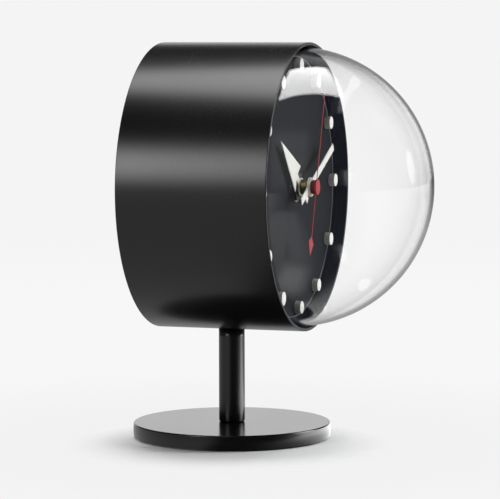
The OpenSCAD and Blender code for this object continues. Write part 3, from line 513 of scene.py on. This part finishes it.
# Dial: a disc whose fine lip stands proud of it and is left bare
dial = {"bush": 4.05, "lip": 0.3, "proud": 0.32, "bareFrom": 0.04, "segments": 256,
        "corners": [0.1, 0.1, 0.08, 0.08, 0.05, 0.1]}
lipRadius, lipFront = dialRadius - dial["lip"], dialFront + dial["proud"]
profile = roundedProfile([[dial["bush"], dialBack], [dialRadius, dialBack], [dialRadius, lipFront],
                          [lipRadius, lipFront], [lipRadius, dialFront], [dial["bush"], dialFront]],
                         dial["corners"])
dialPiece = addPiece(spun("dial", *profile, segments=dial["segments"]), "root", dialPaint,
                     ["dial_plate"])
paintFaces(dialPiece, cutEdge, lambda outward, height: outward > lipRadius - dial["bareFrom"])

# Pegs: a pin in the dial and a round head, white on its face down to the faceDepth and grey on its side,
# where the grey is painted shade
peg = {"radius": 2.5, "pin": 1.0, "depth": 1.0, "faceDepth": 0.3, "segments": 64,
       "corners": [0, 0.1, 0.02, 0.08, 0.22, 0]}
pegPieces = []
for hour in range(1, 13):
    low, high = boxOf(f"hour_marker_{hour}")
    pegMiddle = ((low + high) / 2)[[0, 2]] - [0, axisHeight]
    front, pinEnd = -low[1], dialFront - peg["depth"]
    profile = roundedProfile(
        [[0, pinEnd], [peg["pin"], pinEnd], [peg["pin"], dialFront], [peg["radius"], dialFront],
         [peg["radius"], front], [0, front]], peg["corners"], closed=False)
    pegPiece = addPiece(spun(f"peg{hour}", *profile, segments=peg["segments"], centre=pegMiddle), "root",
                        pegSidePaintedShade, [f"hour_marker_{hour}"])
    paintFaces(pegPiece, pegEnamel, lambda outward, height: height > front - peg["faceDepth"])
    pegPieces.append(pegPiece)

# Dome: inner and outer quarter circles joined by the lip that sits in the ring; both ends lie on the axis
dome = {"wall": 1.5, "rings": 96, "edge": 0.15, "segments": 256}
slope = np.linspace(np.pi / 2, 0, dome["rings"])
outerArc = np.stack([domeRadius * np.cos(slope), domeMiddle + domeRadius * np.sin(slope)], -1)
insideRadius = domeRadius - dome["wall"]
innerArc = np.stack([insideRadius * np.cos(slope), domeMiddle + insideRadius * np.sin(slope)], -1)
arcNormal = np.stack([np.cos(slope), np.sin(slope)], -1)
domeFoot = -domeHigh[1]
lip, lipNormal = roundedProfile([[insideRadius, domeMiddle], [insideRadius, domeFoot], [domeRadius, domeFoot],
                                 [domeRadius, domeMiddle]], [0, dome["edge"], dome["edge"], 0], closed=False)
profile = np.concatenate([innerArc, lip[1:-1], outerArc[::-1]])
profileNormals = np.concatenate([-arcNormal, lipNormal[1:-1], arcNormal[::-1]])
profile[[0, -1], 0] = 0
domeMesh = spun("clearDome", profile, profileNormals, segments=dome["segments"])
domePiece = addPiece(domeMesh, "root", clearAcrylic, ["dome"])
print("dial, pegs and dome made")


# Hands

# Points of an arc round the arbor, between two angles in degrees
def arc(radius, start, end, steps):
    angle = np.radians(np.linspace(start, end, steps))
    return np.stack([radius * np.cos(angle), radius * np.sin(angle)], -1)


# An hour is 30 degrees of the hour hand, a minute or a second is 6 degrees of its own hand
shown = {"hour": 10, "minute": 11, "second": 3.05}
minuteShown = shown["minute"] + shown["second"] / 60
turns = {"hour": -math.radians(30 * (shown["hour"] + minuteShown / 60)),
         "minute": -math.radians(6 * minuteShown), "second": -math.radians(6 * shown["second"])}

# Hour hand: a long arrow with its barbs at the hub, and a tail
hourHand = {"reach": 32, "half": 5.7, "barb": 5.7, "notch": 7.3, "neck": 1.2, "tail": 10, "eye": 3.5,
            "bore": 2.95, "edge": 0.12}
h = hourHand
lean = math.degrees(math.asin(h["neck"] / h["eye"]))
outline = np.concatenate([
    [[0, h["reach"]], [-h["half"], h["barb"]], [-h["neck"], h["notch"]]],
    arc(h["eye"], 90 + lean, 270 - lean, 24),
    [[-h["neck"], -h["tail"]], [h["neck"], -h["tail"]]], arc(h["eye"], -90 + lean, 90 - lean, 24),
    [[h["neck"], h["notch"]], [h["half"], h["barb"]]]])
low, high = boxOf("hour_hand")
addPiece(cutPlate("hourHand", outline, h["bore"], -high[1], -low[1], h["edge"], turns["hour"]),
         "hour", whiteEnamel, ["hour_hand"])

# Minute hand: a straight bar with a tail
minuteHand = {"reach": 34.5, "tail": 12, "half": 1.45, "eye": 3.7, "bore": 2.95, "edge": 0.12}
h = minuteHand
lean = math.degrees(math.asin(h["half"] / h["eye"]))
outline = np.concatenate([
    [[h["half"], h["reach"]], [-h["half"], h["reach"]]], arc(h["eye"], 90 + lean, 270 - lean, 24),
    [[-h["half"], -h["tail"]], [h["half"], -h["tail"]]], arc(h["eye"], -90 + lean, 90 - lean, 24)])
low, high = boxOf("minute_hand")
addPiece(cutPlate("minuteHand", outline, h["bore"], -high[1], -low[1], h["edge"], turns["minute"]),
         "minute", whiteEnamel, ["minute_hand"])

# Second hand: a needle, a disc and a leaf at its tail, widest at a share of its length
secondHand = {"reach": 38, "half": 0.24, "leafFrom": 19.5, "leafTo": 26.8, "leafHalf": 3.2, "widest": 0.3,
              "disc": 2.8, "bore": 0.51, "thick": 0.22, "edge": 0.06}
h = secondHand
lean = math.degrees(math.asin(h["half"] / h["disc"]))
widest = h["leafFrom"] + (h["leafTo"] - h["leafFrom"]) * h["widest"]
outline = np.concatenate([
    [[h["half"], h["reach"]], [-h["half"], h["reach"]]], arc(h["disc"], 90 + lean, 270 - lean, 32),
    [[-h["half"], -h["leafFrom"]], [-h["leafHalf"], -widest], [0, -h["leafTo"]], [h["leafHalf"], -widest],
     [h["half"], -h["leafFrom"]]], arc(h["disc"], -90 + lean, 90 - lean, 32)])
low, high = boxOf("second_hand")
handMesh = cutPlate("secondHand", outline, h["bore"], -high[1], h["thick"] - high[1], h["edge"],
                    turns["second"])
addPiece(handMesh, "seconds", redEnamel, ["second_hand"])
# The cap on its middle closes over the arbor's end
secondCap = {"radius": 3, "taper": 0.1, "behind": 0.1, "proud": 0.06, "segments": 96,
             "corners": [0, 0.1, 0.25, 0]}
c = secondCap
capRear, capFront = c["behind"] - high[1], c["proud"] - low[1]
profile = roundedProfile([[0, capRear], [c["radius"] - c["taper"], capRear], [c["radius"], capFront],
                          [0, capFront]], c["corners"], closed=False)
addPiece(spun("secondCap", *profile, segments=c["segments"]), "seconds", redEnamel)

# Turned sleeves of the hub: the bore's radius, then the outline's corners, each a radius and a height
# above the sleeve's rear or its front
hub = {"hourCollet": {"bore": 2.35, "corners": [[2.9, "rear"], [2.9, "front"]], "round": [0.12, 0.2]},
       "minuteBush": {"bore": 1.55, "corners": [[2.9, "rear"], [2.9, 0.7], [3.7, 0.7], [3.7, "front"]],
                      "round": [0.06, 0.03, 0.08, 0.12]},
       "secondTube": {"bore": 0.51, "corners": [[2.7, "rear"], [2.7, "front"]], "round": [0.12, 0.1]},
       "boreEdge": 0.06, "segments": 96}


# The profile runs from the bore's rear out along the corners and back to the bore's front
def sleeve(name, node, body, material):
    sleeveLow, sleeveHigh = boxOf(node)
    bore, edge = hub[name]["bore"], hub["boreEdge"]
    ends = {"rear": -sleeveHigh[1], "front": -sleeveLow[1]}
    corners = [[bore, ends["rear"]]]
    corners += [[radius, ends[height] if height in ends else ends["rear"] + height]
                for radius, height in hub[name]["corners"]]
    corners += [[bore, ends["front"]]]
    turned = roundedProfile(corners, [edge] + hub[name]["round"] + [edge])
    addPiece(spun(name, *turned, segments=hub["segments"]), body, material, [node])


sleeve("hourCollet", "hour_collet", "hour", turnedBrass)
sleeve("minuteBush", "minute_bush", "minute", bushEnamel)
sleeve("secondTube", "second_tube", "seconds", darkRedEnamel)
print("hands made")


# Back of the clock

# Rear cover: a loop of radius r goes round the tube's axis, or round the finger opening where r is within
# reach of the opening's radius
cover = {"thick": 2, "wall": 1.5, "opening": 12.0, "reach": 2, "segments": 192,
         "corners": [0.4, 0.4, 0.15, 0.15, 0.5, 0.15]}
coverLow, coverHigh = boxOf("rear_cover")
knobLow, knobHigh = boxOf("set_knob")
openingMiddle = ((knobLow + knobHigh) / 2)[[0, 2]] - [0, axisHeight]
coverRadius, coverBack, coverFront = coverHigh[0], -coverHigh[1], -coverLow[1]
opening, inner, coverFloor = cover["opening"], coverRadius - cover["wall"], coverBack + cover["thick"]
profile, profileNormals = roundedProfile(
    [[opening, coverBack], [coverRadius, coverBack], [coverRadius, coverFront], [inner, coverFront],
     [inner, coverFloor], [opening, coverFloor]], cover["corners"])
towards = (profile[:, :1] < opening + cover["reach"]).astype(float)
coverMesh = spun("rearCover", profile, profileNormals, segments=cover["segments"],
                 centre=(towards * openingMiddle[0], towards * openingMiddle[1]))
addPiece(coverMesh, "rear_cover", blackPlastic, ["rear_cover"])

# Setting knob: a grip with scallops round it on a thin spindle
knob = {"radius": 4.5, "height": 6, "scallop": 0.8, "at": 4.8, "count": 12, "spindle": 0.4, "plainTo": 0.45,
        "segments": 288, "corners": [0, 0.45, 0.2, 0.05, 0.1, 0]}


# The grip's radius is the lesser of the knob's own and at x cosine - root of (scallop squared - (at x sine)
# squared), the near side of the closest scallop, with the angle counted from its middle
def scalloped(radius, angle, height):
    step = 2 * np.pi / knob["count"]
    off = (angle + step / 2) % step - step / 2
    inside = np.maximum(knob["scallop"] ** 2 - (knob["at"] * np.sin(off)) ** 2, 0)
    near = np.where(np.abs(knob["at"] * np.sin(off)) < knob["scallop"],
                    knob["at"] * np.cos(off) - np.sqrt(inside), knob["radius"])
    share = np.where(radius > knob["plainTo"], np.minimum(near, knob["radius"]) / knob["radius"], 1)
    return radius * share * np.ones_like(height)


knobBack, spindleFront = -knobHigh[1], -knobLow[1]
knobFront = knobBack + knob["height"]
profile = roundedProfile([[0, knobBack], [knob["radius"], knobBack], [knob["radius"], knobFront],
                          [knob["spindle"], knobFront], [knob["spindle"], spindleFront], [0, spindleFront]],
                         knob["corners"], closed=False)
knobMesh = spun("settingKnob", *profile, segments=knob["segments"], centre=openingMiddle, radiusAt=scalloped)
addPiece(knobMesh, "set_knob", blackPlastic, ["set_knob"])

# Cell: a can with a crimped shoulder at each end and a raised cap, along the head's x
cell = {"radius": 7.25, "cap": 2.75, "capHeight": 1.2, "shoulder": 0.8, "dish": 4.5, "crimp": 0.3,
        "dip": 1e-4, "segments": 96, "corners": [0, 0.3, 0.2, 0.2, 0.15, 0.3, 0.3, 0.15, 0.1, 0.1, 0]}
cellLow, cellHigh = boxOf("battery")
cellEnd, cellStart = cellHigh[0], cellLow[0]
c = cell
canStart, crimped = cellStart + c["capHeight"], c["radius"] - c["crimp"]
profile = roundedProfile(
    [[0, cellStart], [c["cap"], cellStart], [c["cap"], canStart], [c["dish"], canStart],
     [crimped, canStart - c["dip"]], [c["radius"], canStart + c["shoulder"]],
     [c["radius"], cellEnd - c["shoulder"]], [crimped, cellEnd], [c["dish"], cellEnd],
     [c["dish"] - c["crimp"], cellEnd - c["crimp"]], [0, cellEnd - c["crimp"]]], c["corners"], closed=False)
cellY, cellZ = ((cellLow + cellHigh) / 2)[[2, 1]]


# A point (x, y, z) beside the cell's axis stands at (z, cellZ + y, cellY - x), and directions turn alike
def alongCell(points):
    return np.stack([points[..., 2], cellZ + points[..., 1], cellY - points[..., 0]], -1)


def alongCellTurn(vectors):
    return np.stack([vectors[..., 2], vectors[..., 1], -vectors[..., 0]], -1)


addPiece(spun("cell", *profile, segments=c["segments"], toWorld=alongCell, turnNormals=alongCellTurn),
         "battery", cellSleeve, ["battery"])
print("back made")


# Every CAD node that stays takes the material of its slot
bySlot = {
    "black_lacquer": blackLacquer, "black_plastic": blackPlastic, "dial_grey": dialPaint,
    "marker_white": pegEnamel, "clear_acrylic": clearAcrylic, "pad_rubber": padRubber,
    "gasket_rubber": padRubber, "screw_steel": zincSteel, "spring_steel": springSteel,
    "core_steel": coreSteel, "can_steel": canSteel, "black_nut": blackBrass,
    "movement_plastic": movementAbs, "acetal": naturalAcetal,
    "brass": turnedBrass, "hand_white": whiteEnamel, "bush_white": bushEnamel, "hand_red": redEnamel,
    "tube_red": darkRedEnamel, "magnet": bondedMagnet, "copper_wire": copperWire, "board_green": boardMask,
    "chip_black": chipEpoxy, "contact_nickel": nickelStrip, "battery_sleeve": cellSleeve}
for part in frame["record"]["subparts"]:
    node = frame["nodes"][part["node"]]
    finish = bySlot[part["material_slot"]]
    if not node.material_slots:
        node.data.materials.append(finish)
    for materialSlot in node.material_slots:
        materialSlot.material = finish
print("frame nodes dressed")


# Floor: matt up to near from the middle of the foot's shadow, so that it takes the shadow, and from far on
# a plain level. That level is painted darker near the foot, as painted shade round the foot's shadow, rises
# to white, then fades to the background's, called horizon. In a mirror the floor is a plain level too, shine,
# and dim round dimSide, in front of the clock and to its left.
# Distances are in metres and sides in degrees from -y towards +x.
floor = {"radius": 3.0, "rings": [0.01, 0.1, 0.2, 0.4, 0.8, 1.6], "segments": 96, "albedo": "#fafafa",
         "middle": (-0.019, -0.006, 0), "near": 0.03, "far": 0.065, "paintedShadeNear": 0.885, "whiteFrom": 0.25,
         "white": 0.93, "fadeFrom": 0.35, "fadeTo": 1.1, "horizon": 0.905, "through": 1.04,
         "shine": 0.55, "dim": 0.06, "dimSide": -52, "sideRange": (0.72, 0.9)}
angle = np.arange(floor["segments"]) * 2 * np.pi / floor["segments"]
rings = np.array(floor["rings"] + [floor["radius"]])[:, None] / mm
points = np.stack([rings * np.cos(angle), rings * np.sin(angle), 0 * rings * angle], -1)
floorFaces = gridQuads(len(rings), floor["segments"]).tolist() + [list(range(floor["segments"]))]
floorMesh = meshFrom("floor", points, floorFaces)
floorMesh.flip_normals()
floorPiece = bpy.data.objects.new("floor", floorMesh)
scene.collection.objects.link(floorPiece)
paper = bpy.data.materials.new("mattPaper")
paper.use_nodes = True
tree = paper.node_tree
sheet = tree.nodes["Principled BSDF"]
sheet.inputs["Base Color"].default_value = linear(floor["albedo"])
sheet.inputs["Roughness"].default_value = 0.8
sheet.inputs["Specular IOR Level"].default_value = 0
place = addNode(tree, "ShaderNodeTexCoord")
reach = addNode(tree, "ShaderNodeVectorMath", operation="DISTANCE", sockets={
    0: place.outputs["Object"], 1: floor["middle"]})
fade = addNode(tree, "ShaderNodeMapRange", interpolation_type="SMOOTHSTEP", sockets={
    "Value": reach.outputs["Value"], 1: floor["near"], 2: floor["far"], 3: 0.0, 4: 1.0})
rays, mirrored = rayKinds(tree)
outwards = addNode(tree, "ShaderNodeVectorMath", operation="NORMALIZE", sockets={0: place.outputs["Object"]})
dimSide = math.radians(floor["dimSide"])
facing = addNode(tree, "ShaderNodeVectorMath", operation="DOT_PRODUCT", sockets={
    0: outwards.outputs[0], 1: (math.sin(dimSide), -math.cos(dimSide), 0)})
sideShare = addNode(tree, "ShaderNodeMapRange", interpolation_type="SMOOTHSTEP", sockets={
    "Value": facing.outputs["Value"], 1: floor["sideRange"][0], 2: floor["sideRange"][1], 3: 0.0, 4: 1.0})
shine = addNode(tree, "ShaderNodeMapRange", sockets={
    "Value": sideShare.outputs[0], 3: floor["shine"], 4: floor["dim"]})
# Painted shade: the plain level starts darker near the foot and rises to white further out
paintedShadeRising = addNode(tree, "ShaderNodeMapRange", interpolation_type="SMOOTHSTEP", sockets={
    "Value": reach.outputs["Value"], 1: floor["far"], 2: floor["whiteFrom"],
    3: floor["paintedShadeNear"], 4: floor["white"]})
distant = addNode(tree, "ShaderNodeMapRange", interpolation_type="SMOOTHSTEP", sockets={
    "Value": reach.outputs["Value"], 1: floor["fadeFrom"], 2: floor["fadeTo"],
    3: paintedShadeRising.outputs[0], 4: floor["horizon"]})
seenThrough = addNode(tree, "ShaderNodeMapRange", sockets={
    "Value": rays.outputs["Is Transmission Ray"], 3: distant.outputs[0], 4: floor["through"]})
glow = addNode(tree, "ShaderNodeMix", data_type="FLOAT", sockets={
    0: mirrored.outputs[0], 2: seenThrough.outputs[0], 3: shine.outputs[0]})
plain = addNode(tree, "ShaderNodeEmission", sockets={"Color": linear("#ffffff"), "Strength": glow.outputs[0]})
plainShare = addNode(tree, "ShaderNodeMath", operation="MAXIMUM", sockets={
    0: fade.outputs[0], 1: mirrored.outputs[0]})
joined = addNode(tree, "ShaderNodeMixShader", sockets={
    0: plainShare.outputs[0], 1: sheet.outputs[0], 2: plain.outputs[0]})
tree.links.new(joined.outputs[0], tree.nodes["Material Output"].inputs["Surface"])
floorMesh.materials.append(paper)

# World: plain levels to the camera and through the dome. For light and in mirrors it is a dark room with
# a white backdrop, which fades out over edge degrees off its middle and over top degrees up.
backdrop = {"azimuth": 107, "edge": (42, 16), "top": (13, 27), "room": 0.04, "white": 1.22,
            "seen": floor["horizon"], "through": 1.04}
world = bpy.data.worlds.new("studio")
scene.world = world
world.use_nodes = True
tree = world.node_tree
backdropSide = math.radians(backdrop["azimuth"])
place = addNode(tree, "ShaderNodeTexCoord")
facing = addNode(tree, "ShaderNodeVectorMath", operation="DOT_PRODUCT", sockets={
    0: place.outputs["Generated"], 1: (math.sin(backdropSide), -math.cos(backdropSide), 0)})
sideways = addNode(tree, "ShaderNodeMapRange", interpolation_type="SMOOTHSTEP", sockets={
    "Value": facing.outputs["Value"], 1: math.cos(math.radians(backdrop["edge"][0])),
    2: math.cos(math.radians(backdrop["edge"][1])), 3: 0.0, 4: 1.0})
looking = addNode(tree, "ShaderNodeSeparateXYZ", sockets={0: place.outputs["Generated"]})
upwards = addNode(tree, "ShaderNodeMapRange", interpolation_type="SMOOTHSTEP", sockets={
    "Value": looking.outputs[2], 1: math.sin(math.radians(backdrop["top"][0])),
    2: math.sin(math.radians(backdrop["top"][1])), 3: 1.0, 4: 0.0})
lit = addNode(tree, "ShaderNodeMath", operation="MULTIPLY", sockets={
    0: sideways.outputs[0], 1: upwards.outputs[0]})
soft = addNode(tree, "ShaderNodeMapRange", sockets={
    "Value": lit.outputs[0], 3: backdrop["room"], 4: backdrop["white"]})
rays, mirrored = rayKinds(tree)
softOrSeen = addNode(tree, "ShaderNodeMix", data_type="FLOAT", sockets={
    0: rays.outputs["Is Camera Ray"], 2: soft.outputs[0], 3: backdrop["seen"]})
orThrough = addNode(tree, "ShaderNodeMix", data_type="FLOAT", sockets={
    0: rays.outputs["Is Transmission Ray"], 2: softOrSeen.outputs[0], 3: backdrop["through"]})
orMirrored = addNode(tree, "ShaderNodeMix", data_type="FLOAT", sockets={
    0: mirrored.outputs[0], 2: orThrough.outputs[0], 3: soft.outputs[0]})
tree.links.new(orMirrored.outputs[0], tree.nodes["Background"].inputs["Strength"])
tree.nodes["Background"].inputs["Color"].default_value = linear("#ffffff")

# Softboxes: where each stands from the clock's middle, in metres or as directions in degrees, its size in
# metres, its radiance, where 1 is a white surface, the share of its width over which its edge fades, and
# whether it lights, shines or both. A back vector points away from the side that shines. Lamps with an
# again show only in mirror images, and by that share in those behind the dome's near wall.
topTilt = {"back": (0.39, -0.374, 0.842), "along": (0.548, -0.641, -0.538)}
onDome = {"kind": "shine", "only": [domePiece], "again": 0.15}
offDome = {"kind": "both", "except": [domePiece]}
softboxes = {
    "top": {"at": (-0.004, 0.119, 0.993), **topTilt, "size": (1.153, 0.478), "glow": 5.7, "fade": 0.05,
            "kind": "light"},
    "caseTop": {"at": (0.080, -0.003, 0.9), "back": (0, 0, 1), "along": (0.72, -0.69, 0),
                "size": (0.99, 0.845), "glow": 5.2, "fade": 0.18, "kind": "shine", "except": [domePiece]},
    "domeTop": {"at": (-0.004, 0.115, 0.963), **topTilt, "size": (1.118, 0.463), "glow": 6.6, "fade": 0.05,
                **onDome},
    "domeBack": {"azimuth": 98, "elevation": 49, "far": 1.0, "size": (0.9, 0.42), "glow": 0.33, "fade": 0.3,
                 **onDome},
    "domeLeft": {"azimuth": -76, "elevation": 25, "far": 1.0, "size": (0.7, 1.1), "glow": 0.24, "fade": 0.25,
                 **onDome},
    "domeLow": {"at": (-0.212, -0.057, -0.0968), "back": (0, 0, -1), "along": (-0.966, -0.259, 0),
                "size": (0.4, 0.14), "glow": 0.32, "fade": 0.3, **onDome},
    "domeFoot": {"at": (-0.056, -0.039, -0.0966), "back": (0, 0, -1), "along": (-0.83, -0.56, 0),
                 "size": (0.07, 0.05), "glow": 0.6, "fade": 0.4, **onDome},
    "domeRight": {"azimuth": 48, "elevation": 26, "far": 1.0, "size": (1.35, 1.5), "glow": 0.5, "fade": 0.35,
                  **onDome},
    "pegs": {"azimuth": -30, "elevation": 66, "far": 1.2, "size": (0.5, 0.5), "glow": 5.0, "fade": 0.2,
             "kind": "both", "only": pegPieces},
    "leftRear": {"azimuth": -114, "elevation": 17.5, "far": 1.3, "size": (0.75, 0.85), "glow": 7.8,
                 "fade": 0.45, **offDome},
    "frontRight": {"azimuth": 25, "elevation": 14, "far": 1.3, "size": (0.9, 0.9), "glow": 10.6, "fade": 0.2,
                   **offDome},
    "lowFront": {"at": (0.085, -0.181, -0.0968), "back": (0, 0, -1), "along": (0.423, -0.906, 0),
                 "size": (0.4, 0.13), "glow": 4.6, "fade": 0.25, "kind": "shine",
                 "only": [stemPiece, footPiece]}}
# Skins of the dome that a ray has crossed before again counts: more than its near wall's two
skins = {"from": 2.4, "to": 2.6}
aim = np.array([0, 0, axisHeight * mm])
for name, box in softboxes.items():
    if "at" in box:
        away = np.array(box["at"])
    else:
        a, e = math.radians(box["azimuth"]), math.radians(box["elevation"])
        away = box["far"] * np.array([math.sin(a) * math.cos(e), -math.cos(a) * math.cos(e), math.sin(e)])
    back = np.array(box.get("back", away / np.linalg.norm(away)))
    back = back / np.linalg.norm(back)
    side = np.array(box.get("along", np.cross((0, 0, 1), back)), float)
    side = side - back * (side @ back)  # square to the back
    side = side / np.linalg.norm(side)
    lamp = bpy.data.lights.new(name, "AREA")
    lamp.shape = "RECTANGLE"
    lamp.size, lamp.size_y = box["size"]
    lamp.energy = box["glow"] * math.pi * lamp.size * lamp.size_y
    lamp.use_nodes = True
    tree = lamp.node_tree
    spot = addNode(tree, "ShaderNodeNewGeometry")
    centred = addNode(tree, "ShaderNodeVectorMath", operation="SUBTRACT", sockets={
        0: spot.outputs["Parametric"], 1: (0.5, 0.5, 0)})
    fromEdge = addNode(tree, "ShaderNodeVectorMath", operation="ABSOLUTE", sockets={0: centred.outputs[0]})
    axes = addNode(tree, "ShaderNodeSeparateXYZ", sockets={0: fromEdge.outputs[0]})
    falls = [addNode(tree, "ShaderNodeMapRange", interpolation_type="SMOOTHSTEP", sockets={
        "Value": axes.outputs[k], 1: 0.5 - box["fade"], 2: 0.5, 3: 1.0, 4: 0.0}) for k in (0, 1)]
    strength = addNode(tree, "ShaderNodeMath", operation="MULTIPLY", sockets={
        0: falls[0].outputs[0], 1: falls[1].outputs[0]})
    if "again" in box:
        rays, mirrored = rayKinds(tree)
        left = addNode(tree, "ShaderNodeMapRange", sockets={
            "Value": rays.outputs["Transmission Depth"], 1: skins["from"], 2: skins["to"],
            3: 1.0, 4: box["again"]})
        for share in (left, mirrored):
            strength = addNode(tree, "ShaderNodeMath", operation="MULTIPLY", sockets={
                0: strength.outputs[0], 1: share.outputs[0]})
    tree.links.new(strength.outputs[0], tree.nodes["Emission"].inputs["Strength"])
    lampPiece = bpy.data.objects.new(name, lamp)
    turn = Matrix(np.stack([side, np.cross(back, side), back], 1).tolist()).to_4x4()
    turn.translation = (aim + away).tolist()
    lampPiece.matrix_world = turn
    lampPiece.visible_diffuse = box["kind"] != "shine"
    lampPiece.visible_glossy = lampPiece.visible_transmission = box["kind"] != "light"
    scene.collection.objects.link(lampPiece)
    for key, state in (("only", "INCLUDE"), ("except", "EXCLUDE")):
        if key in box:
            group = bpy.data.collections.new(name + "Pieces")
            for piece in box[key]:
                group.objects.link(piece)
            for entry in group.collection_objects:
                entry.light_linking.link_state = state
            lampPiece.light_linking.receiver_collection = group

# Camera at the photograph's place: yaw turns it left from facing +y, pitch lifts it and roll turns it
# anticlockwise, in degrees
camera = {"place": (-0.988838, -0.330424, 0.162788), "yaw": -71.9137, "pitch": -4.94226, "roll": -0.1295,
          "lens": 195.652, "sensor": 36}
yaw, pitch, roll = (math.radians(camera[key]) for key in ("yaw", "pitch", "roll"))
forward = np.array([-math.sin(yaw) * math.cos(pitch), math.cos(yaw) * math.cos(pitch), math.sin(pitch)])
right = np.array([math.cos(yaw), math.sin(yaw), 0])
up = np.cross(right, forward)
across = right * math.cos(roll) + up * math.sin(roll)
above = up * math.cos(roll) - right * math.sin(roll)
lens = bpy.data.cameras.new("camera")
lens.lens, lens.sensor_width = camera["lens"], camera["sensor"]
eye = bpy.data.objects.new("camera", lens)
turn = Matrix(np.stack([across, above, -forward], 1).tolist()).to_4x4()
turn.translation = camera["place"]
eye.matrix_world = turn
scene.collection.objects.link(eye)
scene.camera = eye
scene.view_settings.view_transform = "Standard"
print("stage, lamps and camera set")
